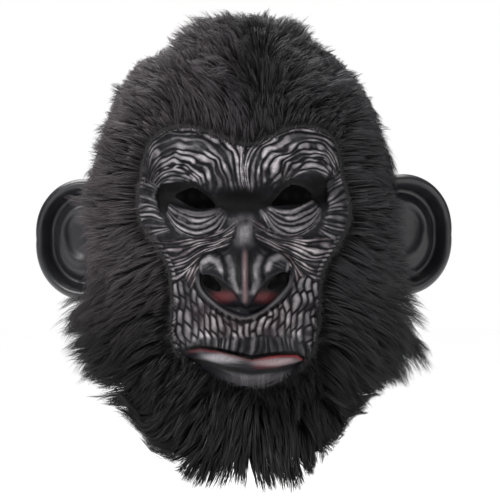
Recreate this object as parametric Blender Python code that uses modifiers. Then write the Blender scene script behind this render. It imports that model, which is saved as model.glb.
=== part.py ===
"""Gorilla costume mask: a moulded latex face and two latex ears on a hollow fabric hood that carries deep fur.

Metres, +Z up. The face looks along -Y. The origin is the crown's inner side, where the mask sits on a head.
"""

import math
import random

import bmesh
import bpy
from mathutils import Vector

# Driving sizes of the hood, a fabric cap with a long front that covers the throat.
HOOD_WIDTH = 0.172
HOOD_FRONT_DEPTH = 0.104
HOOD_BACK_DEPTH = 0.108
HOOD_FRONT_DROP = 0.296
HOOD_SIDE_DROP = 0.238
HOOD_BACK_DROP = 0.250
HOOD_WALL = 0.0022
FRONT_SQUARENESS = 2.7
BACK_SQUARENESS = 2.2

# Driving sizes of the moulded latex face.
FACE_WIDTH = 0.1465
FACE_HEIGHT = 0.180
FACE_TOP_DROP = 0.069
FACE_WALL = 0.0026
MUZZLE_REACH = 0.043
EDGE_ROLL = 0.0100
GLUE_LAP = 0.0065

# Driving sizes of the ears. They are set in past the hood's widest line by EAR_SET_IN.
EAR_HEIGHT = 0.087
EAR_REACH = 0.080
EAR_SET_IN = 0.015
EAR_DROP = 0.1455
EAR_ROOT_Y = 0.004
EAR_RIM_HEIGHT = 0.0085
EAR_SWEEP_DEG = 14.0

# Driving sizes of the fur.
FUR_LENGTH = 0.040
FUR_BACKING = 0.0018
FUR_MARGIN = 0.0014
LOCK_JITTER = 0.22
LOCK_SEED = 7

# Gaps between pieces, and how far a cutter runs past what it cuts.
SEAT_GAP = 0.0003
EAR_CLEARANCE = 0.0020
CUT_PAST = 0.060
CUT_DEPTH = 0.024

# How finely each sheet is lofted.
RING_COLUMNS = {"top": 17, "right": 10, "bottom": 8, "left": 10}
RING_ROWS = 9
RING_CROWDING = 1.1
FACE_COLUMNS = 25
FACE_ROWS = 29
EAR_COLUMNS = 18

# The hood from the crown down in equal steps. Drop is a share of the hood's drop, side of its half width, and
# front and back of its two depths.
HOOD_SECTIONS = (
    # drop, side, front, back
    (0.000, 0.000, 0.000, 0.000),
    (0.022, 0.340, 0.360, 0.350),
    (0.072, 0.600, 0.640, 0.620),
    (0.145, 0.800, 0.840, 0.820),
    (0.235, 0.920, 0.950, 0.950),
    (0.335, 0.985, 1.000, 1.000),
    (0.440, 1.000, 1.010, 0.990),
    (0.545, 0.990, 1.005, 0.930),
    (0.650, 0.965, 0.990, 0.860),
    (0.745, 0.930, 0.970, 0.800),
    (0.835, 0.900, 0.945, 0.765),
    (0.920, 0.880, 0.925, 0.750),
    (1.000, 0.870, 0.920, 0.745),
)
HOOD_STEPS = len(HOOD_SECTIONS) - 1

# The face's edge. Across is a share of half the face's width, and down a share of its height.
FACE_EDGE = {
    "top": (
        (-0.897, 0.072), (-0.827, 0.038), (-0.705, 0.008), (-0.584, 0.001), (-0.453, 0.007), (-0.271, 0.034),
        (-0.070, 0.068), (0.033, 0.074), (0.126, 0.068), (0.313, 0.028), (0.500, 0.002), (0.650, 0.000),
        (0.762, 0.017), (0.846, 0.050),
    ),
    "right": (
        (0.846, 0.050), (0.888, 0.102), (0.925, 0.189), (0.981, 0.260), (1.007, 0.317), (0.990, 0.366),
        (0.949, 0.402), (0.864, 0.460), (0.780, 0.510), (0.730, 0.560), (0.705, 0.620), (0.705, 0.690),
        (0.695, 0.760), (0.655, 0.846),
    ),
    "bottom": (
        (-0.645, 0.846), (-0.575, 0.880), (-0.460, 0.908), (-0.340, 0.940), (-0.215, 0.970), (-0.080, 0.992),
        (0.060, 1.000), (0.215, 0.994), (0.350, 0.970), (0.500, 0.930), (0.595, 0.892), (0.655, 0.846),
    ),
    "left": (
        (-0.897, 0.072), (-0.939, 0.128), (-0.967, 0.196), (-0.991, 0.238), (-0.999, 0.294), (-0.986, 0.340),
        (-0.939, 0.379), (-0.869, 0.419), (-0.796, 0.462), (-0.735, 0.500), (-0.690, 0.545), (-0.665, 0.600),
        (-0.665, 0.690), (-0.675, 0.770), (-0.645, 0.846),
    ),
}

# The swellings and hollows of the face, each a smooth mound. Across, down, wide and tall are shares as in the
# edge, rise is a share of the muzzle's reach, turn is in degrees, and firm squares the mound's shoulders.
FACE_FORMS = (
    # name, across, down, wide, tall, rise, turn, firm
    ("brow_pad_left", -0.50, 0.120, 0.37, 0.085, 0.30, -8, 1.6),
    ("brow_pad_right", 0.51, 0.115, 0.37, 0.085, 0.30, 8, 1.6),
    ("brow_lip_left", -0.42, 0.195, 0.34, 0.030, 0.12, -14, 1.0),
    ("brow_lip_right", 0.43, 0.185, 0.34, 0.030, 0.12, 14, 1.0),
    ("glabella", 0.00, 0.165, 0.26, 0.080, 0.26, 0, 1.4),
    ("orbit_rim_left", -0.88, 0.300, 0.11, 0.160, 0.14, 4, 1.2),
    ("orbit_rim_right", 0.89, 0.300, 0.11, 0.160, 0.14, -4, 1.2),
    ("socket_left", -0.52, 0.262, 0.30, 0.045, -0.13, -6, 1.2),
    ("socket_right", 0.50, 0.250, 0.30, 0.045, -0.13, 6, 1.2),
    ("bag_left", -0.46, 0.352, 0.24, 0.045, 0.13, -4, 1.3),
    ("bag_right", 0.47, 0.350, 0.25, 0.047, 0.13, 6, 1.3),
    ("nasion", 0.00, 0.300, 0.20, 0.036, -0.08, 0, 1.0),
    ("nose_bridge", 0.00, 0.420, 0.13, 0.085, 0.20, 0, 1.0),
    ("cheek_left", -0.50, 0.490, 0.28, 0.080, 0.28, -28, 1.1),
    ("cheek_right", 0.53, 0.485, 0.28, 0.080, 0.28, 28, 1.1),
    ("muzzle", 0.02, 0.745, 0.580, 0.245, 0.98, 0, 2.3),
    ("nose", -0.01, 0.570, 0.330, 0.090, 0.20, 0, 1.6),
    ("nose_tip", 0.00, 0.600, 0.110, 0.080, 0.08, 0, 1.0),
    ("wing_left", -0.29, 0.555, 0.120, 0.040, 0.11, 20, 1.0),
    ("wing_right", 0.29, 0.550, 0.120, 0.040, 0.11, -20, 1.0),
    ("nostril_left", -0.25, 0.592, 0.110, 0.030, -0.20, -38, 1.2),
    ("nostril_right", 0.25, 0.590, 0.110, 0.030, -0.20, 38, 1.2),
    ("under_nose", 0.00, 0.680, 0.340, 0.016, -0.05, 0, 1.0),
    ("upper_lip", 0.02, 0.775, 0.480, 0.060, 0.08, 0, 1.2),
    ("mouth_left", -0.28, 0.842, 0.270, 0.014, -0.11, 4, 1.0),
    ("mouth_right", 0.30, 0.852, 0.270, 0.014, -0.11, 3, 1.0),
    ("lower_lip", 0.06, 0.885, 0.420, 0.024, 0.10, 2, 1.2),
    ("chin", 0.04, 0.930, 0.360, 0.060, 0.30, 0, 1.4),
)

# Holes through the face, each an almond between two places. Above and below are how far its sides arch, as
# shares of the face's height.
FACE_HOLES = (
    # name, start, end, above, below
    ("eye_left", (-0.635, 0.258), (-0.255, 0.288), 0.048, 0.030),
    ("eye_right", (0.262, 0.275), (0.640, 0.246), 0.048, 0.030),
    ("nostril_left", (-0.345, 0.560), (-0.175, 0.618), 0.016, 0.016),
    ("nostril_right", (0.180, 0.618), (0.345, 0.560), 0.016, 0.016),
)

# An ear's section from near the middle of its dish to its edge. Reach is a share of the ear's radius there,
# and rise a share of the rim's height, forward of the ear's plane.
EAR_SECTION = (
    # reach, rise
    (0.30, 0.12),
    (0.55, 0.25),
    (0.70, -0.20),
    (0.81, 0.55),
    (0.91, 1.00),
    (1.00, 0.55),
)
EAR_BACK = (
    # reach, rise
    (0.97, -0.10),
    (0.78, -0.42),
    (0.40, -0.42),
)

# How far the pile stands off the hood as a share of the fur's length, by drop, at the front, side and back.
FUR_PILE = (
    # drop, front, side, back
    (0.00, 0.46, 0.46, 0.46),
    (0.15, 0.48, 0.50, 0.52),
    (0.35, 0.34, 0.54, 0.58),
    (0.55, 0.34, 0.72, 0.62),
    (0.75, 0.44, 1.02, 0.66),
    (0.88, 0.50, 1.15, 0.68),
    (1.00, 0.50, 0.95, 0.64),
)
# A lock leans away from the face by this share of its height, and runs narrower at its waist.
LOCK_LEAN = 0.75
LOCK_WAIST_HEIGHT = 0.58
LOCK_WAIST_WIDTH = 0.72

# Colours as linear red, green and blue, with roughness.
LATEX_GREY = ((0.070, 0.067, 0.071), 0.38)
LATEX_BLACK = ((0.022, 0.022, 0.024), 0.35)
BACKING_BLACK = ((0.012, 0.012, 0.013), 0.95)
FUR_CHARCOAL = ((0.024, 0.022, 0.023), 0.80)


def clear_scene():
    for old in list(bpy.data.objects):
        bpy.data.objects.remove(old, do_unlink=True)


def collection(name):
    made = bpy.data.collections.new(name)
    bpy.context.scene.collection.children.link(made)
    return made


def material(name, finish):
    colour, roughness = finish
    made = bpy.data.materials.new(name)
    made.use_nodes = True
    shader = made.node_tree.nodes["Principled BSDF"]
    shader.inputs["Base Color"].default_value = (*colour, 1.0)
    shader.inputs["Roughness"].default_value = roughness
    shader.inputs["Metallic"].default_value = 0.0
    return made


def smooth_value(before, first, second, after, share):
    """A value between first and second, on a smooth curve through all four."""
    slope_in = (second - before) / 2
    slope_out = (after - first) / 2
    cube, square = share**3, share**2
    return (
        (2 * cube - 3 * square + 1) * first
        + (cube - 2 * square + share) * slope_in
        + (3 * square - 2 * cube) * second
        + (cube - square) * slope_out
    )


def smooth_row(rows, piece, share):
    """A row between two rows of a table, on a smooth curve through its columns."""
    last = len(rows) - 1
    corners = [rows[min(max(piece + step, 0), last)] for step in (-1, 0, 1, 2)]
    return [smooth_value(*values, share) for values in zip(*corners)]


def keyed_row(rows, key):
    """A row of a table at a value of its first column, without that column."""
    piece = 0
    while piece < len(rows) - 2 and key > rows[piece + 1][0]:
        piece += 1
    share = (key - rows[piece][0]) / (rows[piece + 1][0] - rows[piece][0])
    return smooth_row([row[1:] for row in rows], piece, min(max(share, 0.0), 1.0))


def along(points, share):
    """The point at a share of the length of a smooth curve through points."""
    steps = [math.dist(a, b) for a, b in zip(points, points[1:])]
    left = share * sum(steps)
    piece = 0
    while piece < len(steps) - 1 and left > steps[piece]:
        left -= steps[piece]
        piece += 1
    return smooth_row(points, piece, min(left / steps[piece], 1.0))


def smoothstep(low, high, value):
    share = min(max((value - low) / (high - low), 0.0), 1.0)
    return share * share * (3 - 2 * share)


def hood_drop(facing):
    """How far the hood hangs, where facing is 1 at the front, 0 at a side and -1 at the back."""
    ahead = smoothstep(0.35, 0.95, facing)
    behind = smoothstep(0.0, 0.9, -facing)
    lower_front = (HOOD_FRONT_DROP - HOOD_SIDE_DROP) * ahead
    lower_back = (HOOD_BACK_DROP - HOOD_SIDE_DROP) * behind
    return HOOD_SIDE_DROP + lower_front + lower_back


def hood_skin(chart):
    """A point of the hood's outer side. The chart is a disc seen from above, with the crown in its middle, the
    hem at radius 1 and the front at -Y."""
    down = chart.length
    if down < 1e-6:
        return Vector((0, 0, HOOD_WALL))
    across, ahead = chart.x / down, -chart.y / down
    piece = min(int(down * HOOD_STEPS), HOOD_STEPS - 1)
    drop, side, front, back = smooth_row(HOOD_SECTIONS, piece, down * HOOD_STEPS - piece)
    depth = HOOD_FRONT_DEPTH * front if ahead >= 0 else HOOD_BACK_DEPTH * back
    square = FRONT_SQUARENESS if ahead >= 0 else BACK_SQUARENESS
    half_width = HOOD_WIDTH / 2 * side
    reach = (abs(across / half_width) ** square + abs(ahead / depth) ** square) ** (-1 / square)
    return Vector((reach * across, -reach * ahead, HOOD_WALL - drop * hood_drop(ahead)))


def outward(chart):
    """The hood's outward normal at a place of its chart."""
    step = 0.01
    east = hood_skin(chart + Vector((step, 0))) - hood_skin(chart - Vector((step, 0)))
    north = hood_skin(chart + Vector((0, step))) - hood_skin(chart - Vector((0, step)))
    return east.cross(north).normalized()


def chart_of(x, z):
    """The place of the chart where the hood's front side has this X and Z, found by Newton's method."""
    start = min(max((HOOD_WALL - z) / HOOD_FRONT_DROP, 0.15), 0.97)
    chart = Vector((x / (HOOD_WIDTH / 2) * start * 0.7, -start))
    step = 1e-4
    for _ in range(14):
        here = hood_skin(chart)
        east = (hood_skin(chart + Vector((step, 0))) - here) / step
        north = (hood_skin(chart + Vector((0, step))) - here) / step
        miss_x, miss_z = x - here.x, z - here.z
        spread = east.x * north.z - north.x * east.z
        move = Vector((miss_x * north.z - miss_z * north.x, miss_z * east.x - miss_x * east.z)) / spread
        chart += move * min(1.0, 0.12 / max(move.length, 1e-9))
    return chart


def face_place(across, down):
    """X and Z of a place on the face given in shares of its size."""
    return across * FACE_WIDTH / 2, HOOD_WALL - FACE_TOP_DROP - down * FACE_HEIGHT


def face_outline(grown, fineness=1):
    """Points round the face's edge, moved outwards by grown, or inwards where it is negative."""
    ring = []
    for name, points in FACE_EDGE.items():
        clockwise = points if name in ("top", "right") else points[::-1]
        count = RING_COLUMNS[name] * fineness
        ring += [Vector(face_place(*along(clockwise, step / count))) for step in range(count)]
    moved = []
    for index, point in enumerate(ring):
        tangent = (ring[(index + 1) % len(ring)] - ring[index - 1]).normalized()
        moved.append(point + Vector((-tangent.y, tangent.x)) * grown)
    return moved


def chart_rings():
    """Rings of chart places, from the face's edge to the hem."""
    middle = chart_of(*face_place(0.0, 0.5))
    edge = [chart_of(*point) for point in face_outline(0.0)]
    hem = []
    for start in edge:
        ray = (start - middle).normalized()
        along_ray = -middle.dot(ray)
        hem.append(middle + ray * (along_ray + math.sqrt(along_ray**2 + 1 - middle.length_squared)))
    shares = [(row / RING_ROWS) ** RING_CROWDING for row in range(RING_ROWS + 1)]
    return [[low.lerp(high, share) for low, high in zip(edge, hem)] for share in shares]


def add_object(mesh, name, group, finish=None):
    data = bpy.data.meshes.new(name)
    mesh.to_mesh(data)
    mesh.free()
    made = bpy.data.objects.new(name, data)
    group.objects.link(made)
    if finish:
        data.materials.append(finish)
        data.shade_smooth()
    return made


def shell(rings, outer, inner, drawn_back=0.0):
    """A closed ring-shaped wall round the hood between two heights over its skin, with its first ring drawn
    back towards the second. Returns the mesh with its outer corners by ring and column."""
    mesh = bmesh.new()
    skins = []
    for height in (outer, inner):
        skin = [[hood_skin(place) + outward(place) * height for place in ring] for ring in rings]
        skin[0] = [low + (high - low).normalized() * drawn_back for low, high in zip(skin[0], skin[1])]
        skins.append([[mesh.verts.new(point) for point in ring] for ring in skin])
    outside, inside = skins
    count = len(rings[0])
    for row in range(len(rings) - 1):
        for column in range(count):
            after = (column + 1) % count
            for skin in (outside, inside):
                corners = (skin[row][column], skin[row][after], skin[row + 1][after], skin[row + 1][column])
                turned = corners if skin is outside else corners[::-1]
                low, high = (0, 2) if skin is outside else (3, 1)
                mesh.faces.new((turned[low], turned[(low + 1) % 4], turned[high]))
                mesh.faces.new((turned[low], turned[high], turned[(high + 1) % 4]))
    for row, flip in ((0, False), (len(rings) - 1, True)):
        for column in range(count):
            after = (column + 1) % count
            rim = (outside[row][column], inside[row][column], inside[row][after], outside[row][after])
            mesh.faces.new(rim[::-1] if flip else rim)
    bmesh.ops.recalc_face_normals(mesh, faces=mesh.faces)
    return mesh, outside


def cut(target, cutter):
    """Takes cutter's shape out of target."""
    made = target.modifiers.new("cut_" + cutter.name, "BOOLEAN")
    made.operation = "DIFFERENCE"
    made.object = cutter
    cutter.hide_render = True
    cutter.display_type = "WIRE"


def prism(name, outline, low, high, group):
    """A closed prism along Y over an outline of X and Z."""
    mesh = bmesh.new()
    front = [mesh.verts.new((x, low, z)) for x, z in outline]
    back = [mesh.verts.new((x, high, z)) for x, z in outline]
    mesh.faces.new(front)
    mesh.faces.new(back[::-1])
    for index in range(len(outline)):
        after = (index + 1) % len(outline)
        mesh.faces.new((front[index], back[index], back[after], front[after]))
    bmesh.ops.recalc_face_normals(mesh, faces=mesh.faces)
    return add_object(mesh, name, group)


def face_share(column_share, row_share):
    """Across and down for a place in the sheet whose four sides lie on the face's edge."""
    top, bottom = along(FACE_EDGE["top"], column_share), along(FACE_EDGE["bottom"], column_share)
    left, right = along(FACE_EDGE["left"], row_share), along(FACE_EDGE["right"], row_share)
    mixed = []
    for axis in (0, 1):
        corners = (
            (1 - column_share) * (1 - row_share) * FACE_EDGE["top"][0][axis]
            + column_share * (1 - row_share) * FACE_EDGE["top"][-1][axis]
            + (1 - column_share) * row_share * FACE_EDGE["bottom"][0][axis]
            + column_share * row_share * FACE_EDGE["bottom"][-1][axis]
        )
        lengthwise = (1 - row_share) * top[axis] + row_share * bottom[axis]
        crosswise = (1 - column_share) * left[axis] + column_share * right[axis]
        mixed.append(lengthwise + crosswise - corners)
    return mixed


def relief(across, down):
    """How far the face stands out from the hood there, before its edge is tapered."""
    total = 0.0
    x, z = face_place(across, down)
    for _, form_across, form_down, wide, tall, rise, turn, firm in FACE_FORMS:
        middle_x, middle_z = face_place(form_across, form_down)
        angle = math.radians(turn)
        beside, below = x - middle_x, z - middle_z
        local_x = (beside * math.cos(angle) + below * math.sin(angle)) / (wide * FACE_WIDTH / 2)
        local_z = (below * math.cos(angle) - beside * math.sin(angle)) / (tall * FACE_HEIGHT)
        total += rise * MUZZLE_REACH * math.exp(-((local_x**2 + local_z**2) ** firm))
    return total


def crowded(share, amount=0.35):
    """A share from 0 to 1 that moves slowly near both ends, so that rows crowd there."""
    return share - amount * math.sin(2 * math.pi * share) / (2 * math.pi)


def face_sheet():
    """The face's outer side, lofted over its edge and set against the hood."""
    edge = face_outline(0.0, fineness=4)
    mesh = bmesh.new()
    grid = []
    for row in range(FACE_ROWS + 1):
        line = []
        for column in range(FACE_COLUMNS + 1):
            across, down = face_share(crowded(column / FACE_COLUMNS), crowded(row / FACE_ROWS))
            place = Vector(face_place(across, down))
            from_edge = min((place - point).length for point in edge)
            rolled = smoothstep(0.0, EDGE_ROLL, from_edge)
            base = hood_skin(chart_of(*place))
            stand_out = SEAT_GAP + FACE_WALL * (1 + 0.6 * rolled) + rolled * relief(across, down)
            line.append(mesh.verts.new(base - Vector((0, stand_out, 0))))
        grid.append(line)
    for upper, lower in zip(grid, grid[1:]):
        for column in range(FACE_COLUMNS):
            mesh.faces.new((upper[column], lower[column], lower[column + 1], upper[column + 1]))
    bmesh.ops.recalc_face_normals(mesh, faces=mesh.faces)
    mesh.normal_update()
    if sum(face.normal.y for face in mesh.faces) > 0:
        bmesh.ops.reverse_faces(mesh, faces=mesh.faces)
    return mesh


def almond(start, end, above, below, steps=7):
    """An almond outline between two places on the face, arched above and below its chord."""
    low, high = Vector(face_place(*start)), Vector(face_place(*end))
    ring = []
    for arch, turned in ((above, False), (-below, True)):
        for step in range(steps):
            share = 1 - step / steps if turned else step / steps
            point = low.lerp(high, share)
            point.y += arch * FACE_HEIGHT * math.sin(math.pi * share) ** 0.8
            ring.append(point)
    return ring


def make_face(group, cutters, finish, head_form):
    face = add_object(face_sheet(), "face_shell", group, finish)
    wall = face.modifiers.new("wall", "SOLIDIFY")
    wall.thickness = FACE_WALL
    wall.offset = -1.0
    cut(face, head_form)
    front = -HOOD_FRONT_DEPTH - MUZZLE_REACH
    for name, start, end, above, below in FACE_HOLES:
        outline = almond(start, end, above, below)
        cut(face, prism("hole_" + name, outline, front - CUT_PAST, front + MUZZLE_REACH + CUT_PAST, cutters))


def make_hood(group, cutters, finish):
    window = [chart_of(*point) for point in face_outline(-GLUE_LAP)]
    rings = [window, *chart_rings()]
    wall, _ = shell(rings, 0.0, -HOOD_WALL)
    add_object(wall, "hood", group, finish)
    solid_form, _ = shell(rings, SEAT_GAP, -CUT_DEPTH)
    return add_object(solid_form, "hood_form", cutters)


def ear_radius(angle):
    """The ear's radius at an angle about its middle, from 0 away from the head. Its lower part narrows."""
    tall, wide = EAR_HEIGHT / 2, EAR_REACH / 2
    oval = tall * wide / math.hypot(tall * math.cos(angle), wide * math.sin(angle))
    lobe = max(0.0, -math.sin(angle)) * abs(math.cos(angle))
    return oval * (1 - 0.12 * lobe)


def ear_frame(side):
    """The ear's middle, the way out from the head in its plane, and the way its rim rises."""
    sweep = math.radians(EAR_SWEEP_DEG)
    from_middle = HOOD_WIDTH / 2 - EAR_SET_IN + EAR_REACH / 2
    middle = Vector((side * from_middle, EAR_ROOT_Y, HOOD_WALL - EAR_DROP))
    out = Vector((side * math.cos(sweep), math.sin(sweep), 0))
    rise = Vector((side * math.sin(sweep), -math.cos(sweep), 0))
    return middle, out, rise


def ear_mesh(side):
    """One ear's closed dish: a front with a rolled rim and a groove inside it, and a plain back."""
    mesh = bmesh.new()
    middle, out, rise_way = ear_frame(side)

    def place(angle, reach, rise):
        radius = ear_radius(angle) * reach
        across = out * radius * math.cos(angle)
        up = Vector((0, 0, radius * math.sin(angle)))
        return middle + across + up + rise_way * rise * EAR_RIM_HEIGHT

    rings = []
    for reach, rise in EAR_SECTION + EAR_BACK:
        angles = [2 * math.pi * column / EAR_COLUMNS for column in range(EAR_COLUMNS)]
        rings.append([mesh.verts.new(place(angle, reach, rise)) for angle in angles])
    poles = (mesh.verts.new(place(0, 0, EAR_SECTION[0][1])), mesh.verts.new(place(0, 0, EAR_BACK[-1][1])))
    for column in range(EAR_COLUMNS):
        after = (column + 1) % EAR_COLUMNS
        mesh.faces.new((poles[0], rings[0][column], rings[0][after]))
        mesh.faces.new((poles[1], rings[-1][after], rings[-1][column]))
        for inner, outer in zip(rings, rings[1:]):
            mesh.faces.new((inner[column], outer[column], outer[after], inner[after]))
    bmesh.ops.recalc_face_normals(mesh, faces=mesh.faces)
    return mesh


def make_ears(group, cutters, finish):
    ground, _ = shell(chart_rings(), FUR_BACKING + 2 * SEAT_GAP, -CUT_DEPTH, drawn_back=FUR_MARGIN)
    ear_seat = add_object(ground, "ear_seat", cutters)
    for name, side in (("ear_left", -1), ("ear_right", 1)):
        ear = add_object(ear_mesh(side), name, group, finish)
        cut(ear, ear_seat)


def clear_of_ears(point):
    """Whether a point of the fur stays clear of both ears."""
    for side in (-1, 1):
        middle, out, rise_way = ear_frame(side)
        from_middle = point - middle
        across, up, rise = from_middle.dot(out), from_middle.z, from_middle.dot(rise_way)
        grown = ear_radius(math.atan2(up, across)) + EAR_CLEARANCE
        behind = EAR_BACK[-1][1] * EAR_RIM_HEIGHT - EAR_CLEARANCE
        if math.hypot(across, up) < grown and behind < rise < EAR_RIM_HEIGHT + EAR_CLEARANCE:
            return False
    return True


def pile_height(place):
    """How far the pile stands off the hood at a place of the chart."""
    facing = -place.y / max(place.length, 1e-6)
    front, side, back = keyed_row(FUR_PILE, place.length)
    ahead, behind = smoothstep(0.45, 0.95, facing), smoothstep(0.2, 0.9, -facing)
    return FUR_LENGTH * (side + (front - side) * ahead + (back - side) * behind)


def lock_points(corners, normal, flow, height, lean):
    """The four corners of a lock's waist, and its tip."""
    middle = sum(corners, Vector()) / 4
    rise = normal * height
    waist = []
    for corner in corners:
        gathered = middle.lerp(corner, LOCK_WAIST_WIDTH)
        waist.append(gathered + rise * LOCK_WAIST_HEIGHT + flow * lean * height * LOCK_WAIST_HEIGHT**2)
    return waist, middle + rise + flow * lean * height


def path_points(corners, waist, tip):
    """Points spread over a lock's sides, to test it against an ear."""
    spread = []
    for corner, mid in zip(corners, waist):
        spread += [corner.lerp(mid, share) for share in (0.0, 0.35, 0.7, 1.0)]
        spread += [mid.lerp(tip, share) for share in (0.25, 0.5, 0.75)]
    return spread + [tip]


def make_fur(group, finish):
    """The pile: a backing round the hood with a tapered lock on each of its cells."""
    chance = random.Random(LOCK_SEED)
    rings = chart_rings()
    mesh, outside = shell(rings, FUR_BACKING + SEAT_GAP, SEAT_GAP, drawn_back=FUR_MARGIN)
    for row in range(len(rings) - 1):
        for column in range(len(rings[0])):
            after = (column + 1) % len(rings[0])
            verts = (outside[row][column], outside[row][after], outside[row + 1][after], outside[row + 1][column])
            corners = [vert.co.copy() for vert in verts]
            place = (rings[row][column] + rings[row + 1][after]) / 2
            full = pile_height(place) * (1 + LOCK_JITTER * chance.uniform(-1, 1))
            flow = (corners[2] + corners[3] - corners[0] - corners[1]).normalized()
            for lean, length in ((1, 1), (0.4, 1), (0, 1), (0, 0.7), (0, 0.45)):
                waist, tip = lock_points(corners, outward(place), flow, full * length, LOCK_LEAN * lean)
                if all(clear_of_ears(point) for point in path_points(corners, waist, tip)):
                    grow_lock(mesh, verts, waist, tip)
                    break
    bmesh.ops.recalc_face_normals(mesh, faces=mesh.faces)
    add_object(mesh, "fur", group, finish)


def grow_lock(mesh, verts, waist, tip):
    """Takes one cell's two faces off the backing, and puts a lock there."""
    corner_set = set(verts)
    for face in {face for vert in verts for face in vert.link_faces}:
        if set(face.verts) <= corner_set:
            mesh.faces.remove(face)
    for edge in [edge for edge in verts[0].link_edges if edge.other_vert(verts[0]) is verts[2]]:
        mesh.edges.remove(edge)
    middle = [mesh.verts.new(point) for point in waist]
    top = mesh.verts.new(tip)
    for index in range(4):
        after = (index + 1) % 4
        mesh.faces.new((verts[index], verts[after], middle[after], middle[index]))
        mesh.faces.new((middle[index], middle[after], top))


def main():
    clear_scene()
    parts = collection("gorilla_mask")
    cutters = collection("cutters")
    head_form = make_hood(parts, cutters, material("hood_fabric", BACKING_BLACK))
    make_face(parts, cutters, material("painted_latex", LATEX_GREY), head_form)
    make_ears(parts, cutters, material("black_latex", LATEX_BLACK))
    make_fur(parts, material("faux_fur", FUR_CHARCOAL))


main()
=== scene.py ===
"""Looks of the gorilla mask: a painted latex face with every fold, rolled latex ears and deep combed faux fur."""

import math

import bpy
import numpy as np
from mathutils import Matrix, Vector
from mathutils.bvhtree import BVHTree
from mathutils.kdtree import KDTree


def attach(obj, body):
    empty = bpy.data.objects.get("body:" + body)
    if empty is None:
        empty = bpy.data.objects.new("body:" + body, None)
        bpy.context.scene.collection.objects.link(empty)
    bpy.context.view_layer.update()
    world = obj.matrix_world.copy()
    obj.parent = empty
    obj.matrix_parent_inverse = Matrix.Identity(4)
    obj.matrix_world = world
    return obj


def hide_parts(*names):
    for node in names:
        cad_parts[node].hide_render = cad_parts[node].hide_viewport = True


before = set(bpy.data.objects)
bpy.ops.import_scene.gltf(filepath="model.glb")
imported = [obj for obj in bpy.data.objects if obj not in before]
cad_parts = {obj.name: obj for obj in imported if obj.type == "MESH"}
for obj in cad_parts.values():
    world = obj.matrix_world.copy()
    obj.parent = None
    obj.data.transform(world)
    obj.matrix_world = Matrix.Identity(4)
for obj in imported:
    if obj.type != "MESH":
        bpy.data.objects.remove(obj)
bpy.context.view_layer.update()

# The camera stands level with the cheeks, far off, as for a catalogue photograph.
CAMERA_PLACE = (0.0045, -1.885, -0.151)
CAMERA_LENS = 187.8
CAMERA_SENSOR = 36.0
PHOTO_SIDE = 500
FOCAL_PIXELS = PHOTO_SIDE * CAMERA_LENS / CAMERA_SENSOR

# Sizes of the hood, the face and the ears, as in the part's source, in metres.
HOOD_WIDTH = 0.172
HOOD_FRONT_DEPTH = 0.104
HOOD_FRONT_DROP = 0.296
HOOD_SIDE_DROP = 0.238
HOOD_WALL = 0.0022
FRONT_SQUARENESS = 2.7
FACE_WIDTH = 0.1465
FACE_HEIGHT = 0.180
FACE_TOP_DROP = 0.069
FACE_WALL = 0.0026
MUZZLE_REACH = 0.043
EDGE_ROLL = 0.0100
SEAT_GAP = 0.0003
EAR_HEIGHT = 0.087
EAR_REACH = 0.080
EAR_TIP_SPAN = 0.302
EAR_DROP = 0.1455
EAR_ROOT_Y = 0.004
EAR_RIM_HEIGHT = 0.0085
EAR_SWEEP_DEG = 14.0
FUR_LENGTH = 0.040

# How fine the face's skin is: rows from brow to chin, and columns across.
FACE_ROWS = 356
FACE_COLUMNS = 252

# The hood's front from the crown down in equal steps, as shares of its drop, half width and depth.
HOOD_SECTIONS = (
    # drop, side, front
    (0.000, 0.000, 0.000),
    (0.022, 0.340, 0.360),
    (0.072, 0.600, 0.640),
    (0.145, 0.800, 0.840),
    (0.235, 0.920, 0.950),
    (0.335, 0.985, 1.000),
    (0.440, 1.000, 1.010),
    (0.545, 0.990, 1.005),
    (0.650, 0.965, 0.990),
    (0.745, 0.930, 0.970),
    (0.835, 0.900, 0.945),
    (0.920, 0.880, 0.925),
    (1.000, 0.870, 0.920),
)

# The face's edge. Across is a share of half the face's width, and down a share of its height.
FACE_EDGE = {
    "top": (
        (-0.897, 0.072), (-0.827, 0.038), (-0.705, 0.008), (-0.584, 0.001), (-0.453, 0.007), (-0.271, 0.034),
        (-0.070, 0.068), (0.033, 0.074), (0.126, 0.068), (0.313, 0.028), (0.500, 0.002), (0.650, 0.000),
        (0.762, 0.017), (0.846, 0.050),
    ),
    "right": (
        (0.846, 0.050), (0.888, 0.102), (0.925, 0.189), (0.981, 0.260), (1.007, 0.317), (0.990, 0.366),
        (0.949, 0.402), (0.864, 0.460), (0.780, 0.510), (0.730, 0.560), (0.705, 0.620), (0.705, 0.690),
        (0.695, 0.760), (0.655, 0.846),
    ),
    "bottom": (
        (-0.645, 0.846), (-0.575, 0.880), (-0.460, 0.908), (-0.340, 0.940), (-0.215, 0.970), (-0.080, 0.992),
        (0.060, 1.000), (0.215, 0.994), (0.350, 0.970), (0.500, 0.930), (0.595, 0.892), (0.655, 0.846),
    ),
    "left": (
        (-0.897, 0.072), (-0.939, 0.128), (-0.967, 0.196), (-0.991, 0.238), (-0.999, 0.294), (-0.986, 0.340),
        (-0.939, 0.379), (-0.869, 0.419), (-0.796, 0.462), (-0.735, 0.500), (-0.690, 0.545), (-0.665, 0.600),
        (-0.665, 0.690), (-0.675, 0.770), (-0.645, 0.846),
    ),
}

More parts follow.
